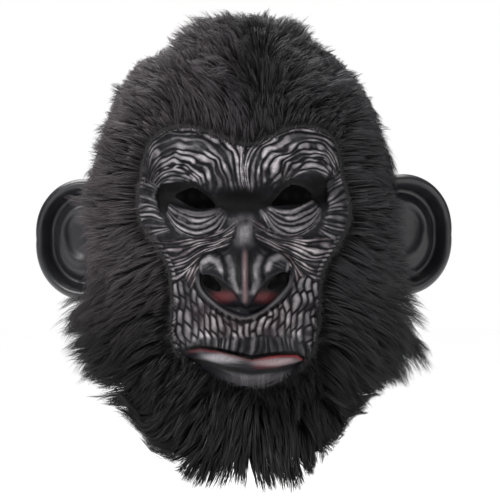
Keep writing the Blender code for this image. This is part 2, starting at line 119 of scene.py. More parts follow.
# The swellings and hollows of the face, as in the part's source.
FACE_FORMS = (
    # name, across, down, wide, tall, rise, turn, firm
    ("brow_pad_left", -0.50, 0.120, 0.37, 0.085, 0.30, -8, 1.6),
    ("brow_pad_right", 0.51, 0.115, 0.37, 0.085, 0.30, 8, 1.6),
    ("brow_lip_left", -0.42, 0.195, 0.34, 0.030, 0.12, -14, 1.0),
    ("brow_lip_right", 0.43, 0.185, 0.34, 0.030, 0.12, 14, 1.0),
    ("glabella", 0.00, 0.165, 0.26, 0.080, 0.26, 0, 1.4),
    ("orbit_rim_left", -0.88, 0.300, 0.11, 0.160, 0.14, 4, 1.2),
    ("orbit_rim_right", 0.89, 0.300, 0.11, 0.160, 0.14, -4, 1.2),
    ("socket_left", -0.52, 0.262, 0.30, 0.045, -0.13, -6, 1.2),
    ("socket_right", 0.50, 0.250, 0.30, 0.045, -0.13, 6, 1.2),
    ("bag_left", -0.46, 0.352, 0.24, 0.045, 0.13, -4, 1.3),
    ("bag_right", 0.47, 0.350, 0.25, 0.047, 0.13, 6, 1.3),
    ("nasion", 0.00, 0.300, 0.20, 0.036, -0.08, 0, 1.0),
    ("nose_bridge", 0.00, 0.420, 0.13, 0.085, 0.20, 0, 1.0),
    ("cheek_left", -0.50, 0.490, 0.28, 0.080, 0.28, -28, 1.1),
    ("cheek_right", 0.53, 0.485, 0.28, 0.080, 0.28, 28, 1.1),
    ("muzzle", 0.02, 0.745, 0.580, 0.245, 0.98, 0, 2.3),
    ("nose", -0.01, 0.570, 0.330, 0.090, 0.20, 0, 1.6),
    ("nose_tip", 0.00, 0.600, 0.110, 0.080, 0.08, 0, 1.0),
    ("wing_left", -0.29, 0.555, 0.120, 0.040, 0.11, 20, 1.0),
    ("wing_right", 0.29, 0.550, 0.120, 0.040, 0.11, -20, 1.0),
    ("under_nose", 0.00, 0.680, 0.340, 0.016, -0.05, 0, 1.0),
    ("upper_lip", 0.02, 0.775, 0.480, 0.060, 0.08, 0, 1.2),
    ("lower_lip", 0.06, 0.885, 0.420, 0.024, 0.10, 2, 1.2),
    ("chin", 0.04, 0.930, 0.360, 0.060, 0.30, 0, 1.4),
)

# Outlines on the face, as pixels of the photograph across and down.
EYE_HOLES = {
    "eye_left": ((175, 196), (183, 190), (193, 187), (204, 193), (216.5, 206), (206, 209), (196, 208.5), (184, 203)),
    "eye_right": ((271, 205), (282, 191), (293, 184), (304, 187), (312, 195), (305, 203), (294.5, 205), (282, 206)),
}
NOSE_BODY = (
    (237, 222), (253, 222), (257, 240), (268, 248), (282, 254), (289, 263), (287, 272), (278, 272),
    (268, 278), (257, 292), (246, 307), (235, 292), (222, 280), (212, 274), (203, 274), (199, 266),
    (203, 256), (216, 250), (230, 243),
)
NOSTRIL_BOWL = (
    (204, 271), (245, 276), (286, 269), (289, 276), (287, 285), (276, 298), (262, 309), (246, 316), (229, 311),
    (214, 301), (203, 290), (200, 279),
)
# Ridges and grooves on the nose. Wide is in pixels, and tall in millimetres.
NOSE_RIDGES = (
    # line, wide, tall
    (((200, 272), (202, 263), (209, 258), (218, 261), (222, 270)), 4.5, 1.9),
    (((288, 270), (287, 261), (280, 256), (271, 259), (268, 268)), 4.5, 1.9),
    (((229, 258), (233, 268), (233, 280), (237, 292)), 5.0, 1.5),
    (((261, 257), (257, 268), (257, 280), (253, 292)), 5.0, 1.5),
    (((245, 250), (245, 268), (245, 303)), 4.0, 0.9),
)
NOSE_GROOVES = (
    ((215, 251), (222, 256), (226, 266), (226, 278), (224, 287)),
    ((275, 250), (268, 255), (264, 265), (264, 276), (266, 284)),
)
NOSTRIL_PITS = {
    "nostril_left": ((201, 276), (207, 274), (214, 278), (221, 287), (219, 292), (210, 289), (203, 284)),
    "nostril_right": ((288, 273), (282, 272), (275, 276), (268, 285), (270, 290), (280, 286), (286, 281)),
}
MOUTH_LINE = ((187, 350), (200, 347.5), (218, 350), (237, 355), (252, 358.7), (264, 356.5), (280, 354), (296, 354), (304, 359))
LIP_FOOT = ((190, 358), (208, 362), (226, 367), (252, 371), (275, 369), (294, 364), (306, 360))

# Bundles of folds. Each runs along its guides, which are lines of the photograph's pixels across and down, and its
# folds lie side by side from the first guide to the last.
FOLD_BUNDLES = (
    # name, folds, deep in millimetres, silver, flush, guides
    ("rim_left", 12, 1.6, 0.62, 0.0, (
        ((137, 176), (147, 180), (158, 186)),
        ((134, 205), (147, 206), (161, 210)),
        ((146, 239), (158, 236), (171, 231)),
    )),
    ("rim_right", 13, 1.6, 0.62, 0.0, (
        ((344, 174), (335, 179), (326, 186)),
        ((353, 208), (340, 209), (327, 213)),
        ((344, 241), (333, 238), (320, 232)),
    )),
    ("cheek_left", 9, 1.7, 0.74, 0.06, (
        ((239, 219), (228, 228), (212, 235), (194, 239), (174, 241), (150, 240)),
        ((240, 234), (224, 241), (208, 247), (192, 254), (176, 260), (158, 263)),
        ((240, 247), (222, 252), (206, 259), (192, 268), (181, 277), (168, 285)),
    )),
    ("cheek_right", 9, 1.7, 0.74, 0.06, (
        ((251, 219), (262, 228), (278, 235), (296, 239), (318, 240), (344, 236)),
        ((250, 234), (266, 241), (282, 247), (298, 254), (314, 260), (336, 260)),
        ((250, 247), (268, 252), (284, 259), (298, 268), (310, 278), (326, 286)),
    )),
    ("nose_fold_left", 2, 1.5, 0.50, 0.11, (
        ((240, 243), (222, 249), (206, 256), (194, 267), (184, 282)),
        ((236, 251), (220, 255), (206, 262), (198, 274), (190, 292)),
    )),
    ("nose_fold_right", 2, 1.5, 0.50, 0.11, (
        ((252, 243), (268, 249), (285, 256), (296, 267), (306, 282)),
        ((254, 251), (270, 255), (285, 260), (292, 272), (299, 290)),
    )),
    ("bag_left", 5, 1.5, 0.58, 0.0, (
        ((170, 202), (182, 209), (197, 212), (211, 210), (222, 206)),
        ((166, 213), (177, 229), (196, 239), (215, 231), (229, 212)),
    )),
    ("bag_right", 5, 1.5, 0.58, 0.0, (
        ((267, 206), (280, 210), (294, 210), (308, 206), (320, 199)),
        ((260, 213), (272, 230), (292, 238), (313, 229), (326, 209)),
    )),
    ("brow_left", 9, 2.4, 0.66, 0.02, (
        ((141, 178), (142, 155), (153, 135), (171, 124), (193, 125), (215, 130), (231, 140), (243, 151), (245, 197)),
        ((151, 184), (158, 173), (168, 167), (180, 168), (189, 173), (195, 179), (199, 184), (202, 188), (205, 193)),
    )),
    ("brow_right", 9, 2.4, 0.68, 0.02, (
        ((345, 172), (344, 155), (337, 139), (323, 127), (308, 123), (284, 127), (263, 137), (247, 151), (245, 197)),
        ((334, 178), (331, 168), (322, 161), (310, 162), (300, 167), (293, 173), (288, 179), (284, 184), (281, 190)),
    )),
    ("lid_left", 2, 2.0, 0.75, 0.0, (
        ((154, 180), (163, 172), (174, 169), (186, 174), (196, 184)),
        ((156, 187), (166, 181), (178, 180), (187, 183), (194, 187)),
    )),
    ("lid_right", 2, 2.0, 0.75, 0.0, (
        ((331, 172), (322, 163), (310, 162), (298, 169), (288, 180)),
        ((328, 179), (318, 173), (308, 172), (299, 176), (292, 182)),
    )),
)
EYE_LIDS = (
    ((166, 197), (175, 190), (186, 184), (196, 186), (210, 196), (222, 207)),
    ((266, 206), (280, 188), (292, 181), (306, 183), (318, 192)),
)

# The pile's height off the hood as a share of the fur's length, by drop, as in the part's source.
FUR_PILE = (
    # drop, front, side, back
    (0.00, 0.46, 0.46, 0.46),
    (0.15, 0.48, 0.50, 0.52),
    (0.35, 0.34, 0.54, 0.58),
    (0.55, 0.34, 0.72, 0.62),
    (0.75, 0.44, 1.02, 0.66),
    (0.88, 0.50, 1.15, 0.68),
    (1.00, 0.50, 0.95, 0.64),
)


# Materials


def linear(hex_colour):
    """An sRGB hex colour as linear red, green, blue and alpha."""
    channels = [int(hex_colour[start:start + 2], 16) / 255 for start in (1, 3, 5)]
    return (*[c / 12.92 if c <= 0.04045 else ((c + 0.055) / 1.055) ** 2.4 for c in channels], 1.0)


def add_node(tree, kind, inputs=None, **settings):
    """Adds a node with its settings. A socket among the inputs' values is linked, and another value is set."""
    made = tree.nodes.new(kind)
    for name, value in settings.items():
        setattr(made, name, value)
    for name, value in (inputs or {}).items():
        if isinstance(value, bpy.types.NodeSocket):
            tree.links.new(value, made.inputs[name])
        else:
            made.inputs[name].default_value = value
    return made


def new_material(name, roughness, ior, metallic=0.0):
    made = bpy.data.materials.new(name)
    made.use_nodes = True
    shader = made.node_tree.nodes["Principled BSDF"]
    shader.inputs["Roughness"].default_value = roughness
    shader.inputs["IOR"].default_value = ior
    shader.inputs["Metallic"].default_value = metallic
    return made, made.node_tree, shader


def mix_colour(tree, factor, low, high, blend="MIX"):
    """The colour between low and high. In a colour mix, sockets 6 and 7 are the colours, and output 2 the result."""
    mixed = add_node(tree, "ShaderNodeMix", {0: factor, 6: low, 7: high}, data_type="RGBA", blend_type=blend)
    return mixed.outputs[2]


def millimetre_scale(size_mm):
    """A noise scale, in object units of a metre, for features of this size in millimetres."""
    return 1000.0 / size_mm


def latex_painted_moulded():
    """Latex, cast in a mould, painted black and dry-brushed: silver stays on the ridges and black in the folds, and
    the satin skin gives small soft highlights. The silver also carries a painted highlight along the ridges' narrow
    tops, and the near-black carries painted shade in the eye sockets, nostrils and grooves as well as black paint."""
    made, tree, shader = new_material("latex_moulded_dry_brushed", 0.40, 1.52)
    paint = add_node(tree, "ShaderNodeVertexColor", layer_name="paint")
    masks = add_node(tree, "ShaderNodeSeparateColor", {"Color": paint.outputs["Color"]})
    place = add_node(tree, "ShaderNodeTexCoord").outputs["Object"]
    streaks = add_node(
        tree, "ShaderNodeTexNoise", {"Vector": place, "Scale": millimetre_scale(1.6), "Detail": 5.0, "Roughness": 0.7}
    )
    breaks = add_node(
        tree, "ShaderNodeMapRange",
        {"Value": streaks.outputs["Fac"], "From Min": 0.30, "From Max": 0.62, "To Min": 0.55, "To Max": 1.0},
    )
    silver_amount = add_node(
        tree, "ShaderNodeMath", {0: masks.outputs["Red"], 1: breaks.outputs["Result"]}, operation="MULTIPLY"
    )
    shader.inputs["Specular IOR Level"].default_value = 0.13
    coat = mix_colour(tree, silver_amount.outputs[0], linear("#19191D"), linear("#B3AEB1"))
    flushed = mix_colour(tree, masks.outputs["Green"], coat, linear("#8A3335"))
    # Blue: near-black, black paint deep in the folds together with painted shade in the eye sockets, nostrils and
    # grooves.
    shaded = mix_colour(tree, masks.outputs["Blue"], flushed, linear("#070708"))
    tree.links.new(shaded, shader.inputs["Base Color"])
    grain = add_node(
        tree, "ShaderNodeTexNoise", {"Vector": place, "Scale": millimetre_scale(0.7), "Detail": 3.0}
    )
    satin = add_node(
        tree, "ShaderNodeMapRange", {"Value": grain.outputs["Fac"], "To Min": 0.32, "To Max": 0.46}
    )
    matt = add_node(
        tree, "ShaderNodeMath", {0: masks.outputs["Blue"], 1: 0.35, 2: satin.outputs["Result"]},
        operation="MULTIPLY_ADD",
    )
    tree.links.new(matt.outputs[0], shader.inputs["Roughness"])
    bump = add_node(
        tree, "ShaderNodeBump", {"Height": grain.outputs["Fac"], "Strength": 0.25, "Distance": 0.00025}
    )
    tree.links.new(bump.outputs["Normal"], shader.inputs["Normal"])
    return made


def latex_black_moulded():
    """Black latex, cast in a mould and polished by hand, with a faint dusty bloom and a satin highlight."""
    made, tree, shader = new_material("latex_moulded_black", 0.36, 1.52)
    shader.inputs["Specular IOR Level"].default_value = 0.40
    place = add_node(tree, "ShaderNodeTexCoord").outputs["Object"]
    bloom = add_node(
        tree, "ShaderNodeTexNoise", {"Vector": place, "Scale": millimetre_scale(14), "Detail": 6.0, "Roughness": 0.65}
    )
    colour = mix_colour(tree, bloom.outputs["Fac"], linear("#0D0D0F"), linear("#242428"))
    tree.links.new(colour, shader.inputs["Base Color"])
    gloss = add_node(
        tree, "ShaderNodeMapRange", {"Value": bloom.outputs["Fac"], "To Min": 0.30, "To Max": 0.46}
    )
    tree.links.new(gloss.outputs["Result"], shader.inputs["Roughness"])
    grain = add_node(
        tree, "ShaderNodeTexNoise", {"Vector": place, "Scale": millimetre_scale(0.9), "Detail": 4.0}
    )
    bump = add_node(
        tree, "ShaderNodeBump", {"Height": grain.outputs["Fac"], "Strength": 0.18, "Distance": 0.0002}
    )
    tree.links.new(bump.outputs["Normal"], shader.inputs["Normal"])
    return made


def faux_fur_pile():
    """Modacrylic faux fur, brushed: charcoal fibres, darker at the root and paler at the tip, with a silky sheen."""
    made, tree, shader = new_material("modacrylic_pile_brushed", 0.52, 1.50)
    tint = add_node(tree, "ShaderNodeVertexColor", layer_name="tint")
    tree.links.new(tint.outputs["Color"], shader.inputs["Base Color"])
    shader.inputs["Specular IOR Level"].default_value = 0.25
    return made


def faux_fur_ground():
    """The dense short underfur that shows between the long fibres as soft black."""
    made, tree, shader = new_material("modacrylic_underfur", 0.9, 1.50)
    place = add_node(tree, "ShaderNodeTexCoord").outputs["Object"]
    fibres = add_node(
        tree, "ShaderNodeTexNoise", {"Vector": place, "Scale": millimetre_scale(2.0), "Detail": 6.0, "Roughness": 0.8}
    )
    colour = mix_colour(tree, fibres.outputs["Fac"], linear("#060606"), linear("#1B1A1B"))
    tree.links.new(colour, shader.inputs["Base Color"])
    bump = add_node(tree, "ShaderNodeBump", {"Height": fibres.outputs["Fac"], "Strength": 0.8, "Distance": 0.001})
    tree.links.new(bump.outputs["Normal"], shader.inputs["Normal"])
    return made


def knit_backing():
    """Polyester backing, warp-knitted: fine upright wales 1.4 mm apart, drawn coarser than real to show."""
    made, tree, shader = new_material("polyester_warp_knit", 0.88, 1.50)
    place = add_node(tree, "ShaderNodeTexCoord").outputs["Object"]
    wales = add_node(
        tree, "ShaderNodeTexWave",
        {"Vector": place, "Scale": millimetre_scale(1.4) / 20, "Distortion": 1.2, "Detail": 2.0, "Detail Scale": 3.0},
        wave_type="BANDS", bands_direction="X",
    )
    courses = add_node(
        tree, "ShaderNodeTexWave",
        {"Vector": place, "Scale": millimetre_scale(1.4) / 20, "Distortion": 1.2, "Detail": 2.0},
        wave_type="BANDS", bands_direction="Z",
    )
    loops = add_node(tree, "ShaderNodeMath", {0: wales.outputs["Fac"], 1: courses.outputs["Fac"]}, operation="MULTIPLY")
    colour = mix_colour(tree, loops.outputs[0], linear("#101011"), linear("#2A2A2D"))
    tree.links.new(colour, shader.inputs["Base Color"])
    bump = add_node(tree, "ShaderNodeBump", {"Height": loops.outputs[0], "Strength": 0.6, "Distance": 0.0004})
    tree.links.new(bump.outputs["Normal"], shader.inputs["Normal"])
    return made


def thread_waxed():
    """Waxed polyester thread, twisted: a thin dull shine along each stitch."""
    made, tree, shader = new_material("polyester_thread_waxed", 0.5, 1.50)
    place = add_node(tree, "ShaderNodeTexCoord").outputs["Object"]
    twist = add_node(
        tree, "ShaderNodeTexNoise", {"Vector": place, "Scale": millimetre_scale(0.6), "Detail": 2.0}
    )
    colour = mix_colour(tree, twist.outputs["Fac"], linear("#1A1A1B"), linear("#5B5958"))
    tree.links.new(colour, shader.inputs["Base Color"])
    return made


def paper_sweep():
    """Matt white background paper."""
    made, tree, shader = new_material("paper_matt_white", 0.95, 1.45)
    place = add_node(tree, "ShaderNodeTexCoord").outputs["Object"]
    tooth = add_node(tree, "ShaderNodeTexNoise", {"Vector": place, "Scale": millimetre_scale(60), "Detail": 3.0})
    colour = mix_colour(tree, tooth.outputs["Fac"], linear("#F8F8F8"), linear("#FCFCFC"))
    tree.links.new(colour, shader.inputs["Base Color"])
    return made


# Shapes and numbers that several pieces share


def smoothstep(low, high, value):
    share = np.clip((value - low) / (high - low), 0.0, 1.0)
    return share * share * (3 - 2 * share)


def smooth_row(rows, piece, share):
    """A row between two rows of a table, on a smooth curve through its columns."""
    last = len(rows) - 1
    before, first, second, after = [np.array(rows[min(max(piece + step, 0), last)]) for step in (-1, 0, 1, 2)]
    cube, square = share**3, share**2
    slope_in, slope_out = (second - before) / 2, (after - first) / 2
    return (
        (2 * cube - 3 * square + 1) * first
        + (cube - 2 * square + share) * slope_in
        + (3 * square - 2 * cube) * second
        + (cube - square) * slope_out
    )


def along(points, share):
    """The point at a share of the length of a smooth curve through points."""
    steps = [math.dist(a, b) for a, b in zip(points, points[1:])]
    left = share * sum(steps)
    piece = 0
    while piece < len(steps) - 1 and left > steps[piece]:
        left -= steps[piece]
        piece += 1
    return smooth_row(points, piece, min(left / steps[piece], 1.0))


def lattice_noise(points, size, seed):
    """Smooth noise from -1 to 1 at points, with features of about this size in the points' own units."""
    chance = np.random.default_rng(seed)
    table = chance.uniform(-1, 1, (32, 32, 32))
    scaled = points / size
    cell = np.floor(scaled).astype(int)
    share = scaled - cell
    share = share * share * (3 - 2 * share)
    total = np.zeros(len(points))
    for corner in np.ndindex(2, 2, 2):
        weight = np.ones(len(points))
        for axis in range(3):
            weight *= share[:, axis] if corner[axis] else 1 - share[:, axis]
        index = [(cell[:, axis] + corner[axis]) % 32 for axis in range(3)]
        total += weight * table[index[0], index[1], index[2]]
    return total


def photo_place(points):
    """Where points show in the photograph, in its pixels across and down."""
    depth = points[..., 1] - CAMERA_PLACE[1]
    across = PHOTO_SIDE / 2 + FOCAL_PIXELS * (points[..., 0] - CAMERA_PLACE[0]) / depth
    down = PHOTO_SIDE / 2 - FOCAL_PIXELS * (points[..., 2] - CAMERA_PLACE[2]) / depth
    return across, down


def mesh_piece(name, points, faces, material, colours=None, layer="paint", smooth=True):
    """A mesh object from arrays of points and of faces with a like number of corners each."""
    data = bpy.data.meshes.new(name)
    sides = faces.shape[1]
    data.vertices.add(len(points))
    data.vertices.foreach_set("co", np.ascontiguousarray(points, dtype=np.float32).ravel())
    data.loops.add(faces.size)
    data.loops.foreach_set("vertex_index", faces.ravel().astype(np.int32))
    data.polygons.add(len(faces))
    data.polygons.foreach_set("loop_start", np.arange(0, faces.size, sides, dtype=np.int32))
    data.polygons.foreach_set("loop_total", np.full(len(faces), sides, dtype=np.int32))
    data.polygons.foreach_set("use_smooth", np.full(len(faces), smooth))
    data.update(calc_edges=True)
    data.validate()
    if colours is not None:
        painted = data.color_attributes.new(layer, "FLOAT_COLOR", "POINT")
        rgba = np.ones((len(points), 4), dtype=np.float32)
        rgba[:, :3] = colours
        painted.data.foreach_set("color", rgba.ravel())
    made = bpy.data.objects.new(name, data)
    bpy.context.scene.collection.objects.link(made)
    data.materials.append(material)
    return made


# The latex face


def hood_front(x, z):
    """Y of the hood's front under places of the face."""
    shares = np.linspace(0, 1, 400)
    steps = len(HOOD_SECTIONS) - 1
    rows = [smooth_row(HOOD_SECTIONS, min(int(s * steps), steps - 1), s * steps - min(int(s * steps), steps - 1)) for s in shares]
    drops, sides, fronts = np.array(rows).T
    ahead = np.full_like(x, 0.98)
    for _ in range(10):
        hang = HOOD_SIDE_DROP + (HOOD_FRONT_DROP - HOOD_SIDE_DROP) * smoothstep(0.35, 0.95, ahead)
        drop = (HOOD_WALL - z) / hang
        half_width = HOOD_WIDTH / 2 * np.interp(drop, drops, sides)
        depth = HOOD_FRONT_DEPTH * np.interp(drop, drops, fronts)
        beside = np.clip(np.abs(x) / half_width, 0, 0.98)
        y = depth * (1 - beside**FRONT_SQUARENESS) ** (1 / FRONT_SQUARENESS)
        ahead = y / np.hypot(x, y)
    return -y


def face_place(across, down):
    """X and Z of a place on the face given in shares of its size."""
    return across * FACE_WIDTH / 2, HOOD_WALL - FACE_TOP_DROP - down * FACE_HEIGHT


def face_grid(rows, columns):
    """Across and down of a grid of places whose four sides lie on the face's edge."""
    across_shares = np.linspace(0, 1, columns + 1)
    down_shares = np.linspace(0, 1, rows + 1)
    top = np.array([along(FACE_EDGE["top"], share) for share in across_shares])[None]
    bottom = np.array([along(FACE_EDGE["bottom"], share) for share in across_shares])[None]
    left = np.array([along(FACE_EDGE["left"], share) for share in down_shares])[:, None]
    right = np.array([along(FACE_EDGE["right"], share) for share in down_shares])[:, None]
    u, v = across_shares[None, :, None], down_shares[:, None, None]
    corners = (
        (1 - u) * (1 - v) * np.array(FACE_EDGE["top"][0])
        + u * (1 - v) * np.array(FACE_EDGE["top"][-1])
        + (1 - u) * v * np.array(FACE_EDGE["bottom"][0])
        + u * v * np.array(FACE_EDGE["bottom"][-1])
    )
    places = (1 - v) * top + v * bottom + (1 - u) * left + u * right - corners
    return places[..., 0], places[..., 1]


def edge_distance(x, z):
    """Distance from places of the face to its edge, in metres."""
    outline = []
    for name in ("top", "right", "bottom", "left"):
        outline += [face_place(*along(FACE_EDGE[name], share)) for share in np.linspace(0, 1, 60)]
    nearest = np.full(x.shape, 1.0)
    for edge_x, edge_z in outline:
        nearest = np.minimum(nearest, np.hypot(x - edge_x, z - edge_z))
    return nearest


def relief(x, z):
    """How far the face stands out from the hood, before its edge is tapered."""
    total = np.zeros_like(x)
    for _, form_across, form_down, wide, tall, rise, turn, firm in FACE_FORMS:
        middle_x, middle_z = face_place(form_across, form_down)
        angle = math.radians(turn)
        beside, below = x - middle_x, z - middle_z
        local_x = (beside * math.cos(angle) + below * math.sin(angle)) / (wide * FACE_WIDTH / 2)
        local_z = (below * math.cos(angle) - beside * math.sin(angle)) / (tall * FACE_HEIGHT)
        total += rise * MUZZLE_REACH * np.exp(-((local_x**2 + local_z**2) ** firm))
    return total


def line_distance(u, v, line, closed=False):
    """Distance in pixels from places to a line of straight pieces."""
    ends = line[1:] + line[:1] if closed else line[1:]
    nearest = np.full(u.shape, 1e3)
    for (x0, y0), (x1, y1) in zip(line, ends):
        run_x, run_y = x1 - x0, y1 - y0
        share = np.clip(((u - x0) * run_x + (v - y0) * run_y) / (run_x**2 + run_y**2), 0, 1)
        nearest = np.minimum(nearest, np.hypot(u - x0 - share * run_x, v - y0 - share * run_y))
    return nearest


def inside_distance(u, v, outline):
    """Distance in pixels to a closed outline, positive inside it."""
    inside = np.zeros(u.shape, bool)
    for (x0, y0), (x1, y1) in zip(outline, outline[1:] + outline[:1]):
        crosses = ((y0 > v) != (y1 > v)) & (u < (x1 - x0) * (v - y0) / (y1 - y0 + 1e-9) + x0)
        inside ^= crosses
    return np.where(inside, 1, -1) * line_distance(u, v, outline, closed=True)


def smooth_outline(points, steps=6):
    """A rounder outline through points."""
    ring = (points[-1],) + points + (points[0], points[1])
    rounded = []
    for piece in range(1, len(points) + 1):
        for step in range(steps):
            rounded.append(tuple(smooth_row(ring, piece, step / steps)))
    return tuple(rounded)


def oval(u, v, middle_u, middle_v, wide, tall, soft=0.35):
    """1 inside an oval, falling to 0 past its edge."""
    reach = np.hypot((u - middle_u) / wide, (v - middle_v) / tall)
    return 1 - smoothstep(1 - soft, 1 + soft, reach)


def guide(u, *pairs):
    """A line through pairs of pixels across and down, read at u."""
    across, down = zip(*pairs)
    return np.interp(u, across, down)


def fold_place(u, v, guides):
    """How far across a bundle of folds, and how far along it, pixels lie, as shares, and how far outside it."""
    fine = 130
    shares = np.linspace(0, 1, fine)
    curves = [np.array([along(curve, share) for share in shares]) for curve in guides]
    last = len(curves) - 1
    rows = []
    for share in shares:
        piece = min(int(share * last), last - 1)
        rows.append(smooth_row(curves, piece, share * last - piece))
    grid = np.array(rows)
    tree = KDTree(fine * fine)
    for index, (grid_u, grid_v) in enumerate(grid.reshape(-1, 2)):
        tree.insert((grid_u, grid_v, 0), index)
    tree.balance()
    low, high = grid.reshape(-1, 2).min(axis=0) - 4, grid.reshape(-1, 2).max(axis=0) + 4
    near = (u > low[0]) & (u < high[0]) & (v > low[1]) & (v < high[1])
    wanted = np.stack([u[near], v[near]], axis=-1)
    found = np.array([tree.find((place_u, place_v, 0))[1] for place_u, place_v in wanted])
    row, column = found // fine, found % fine
    step_across = grid[np.minimum(row + 1, fine - 1), column] - grid[np.maximum(row - 1, 0), column]
    step_along = grid[row, np.minimum(column + 1, fine - 1)] - grid[row, np.maximum(column - 1, 0)]
    rest = wanted - grid[row, column]
    turn = step_across[:, 0] * step_along[:, 1] - step_across[:, 1] * step_along[:, 0]
    turn = np.where(np.abs(turn) < 1e-4, 1e-4, turn)
    more_across = 2 * (rest[:, 0] * step_along[:, 1] - rest[:, 1] * step_along[:, 0]) / turn
    more_along = 2 * (step_across[:, 0] * rest[:, 1] - step_across[:, 1] * rest[:, 0]) / turn
    across, run, outside = np.zeros(u.shape), np.zeros(u.shape), np.full(u.shape, 99.0)
    across[near] = np.clip((row + np.clip(more_across, -3, 3)) / (fine - 1), 0, 1)
    run[near] = np.clip((column + np.clip(more_along, -3, 3)) / (fine - 1), 0, 1)
    outside[near] = np.hypot(rest[:, 0], rest[:, 1])
    return across, run, outside


def fold_ridges(cycles, run, seed, wander=0.55, breaks=0.97):
    """Uneven ridges, one a cycle, that wander, swell, taper and fade along their run: their height and crests. A
    crest's silver is dry-brush paint with a painted highlight in a narrow line along its top.
    """
    level = np.zeros(cycles.size)
    slow = np.stack([cycles.ravel() / 2.3, run.ravel() / 4.5, level], axis=-1)
    quick = np.stack([cycles.ravel() * 0.8, run.ravel() / 2.4, level], axis=-1)
    shift = wander * lattice_noise(slow, 1.0, seed) + 0.42 * lattice_noise(quick, 1.0, seed + 1)
    phase = cycles.ravel() + shift
    own = np.stack([np.floor(phase) * 3.7 + 0.5, run.ravel() / 2.2, level], axis=-1)
    swell = np.clip(0.62 + 1.25 * lattice_noise(own, 1.0, seed + 2), 1 - breaks, 1.0)
    wave = np.abs(np.sin(np.pi * phase))
    narrow = 0.82 * (1 - swell)
    ridge = np.clip((wave - narrow) / (1 - narrow), 0, 1)
    fine = np.abs(np.sin(np.pi * (2.6 * phase + 0.6 * lattice_noise(quick, 1.0, seed + 3))))
    height = (ridge**0.65 * (0.30 + 0.70 * swell) * (0.80 + 0.20 * fine)).reshape(cycles.shape)
    # Painted highlight: a narrow lighter line along the top of each crest.
    painted_crest_highlight = ridge**3.0 * swell * (0.35 + 0.65 * fine)
    crest = (0.42 * ridge**0.9 * (0.4 + 0.6 * swell) + 0.62 * painted_crest_highlight).reshape(cycles.shape)
    return height, crest


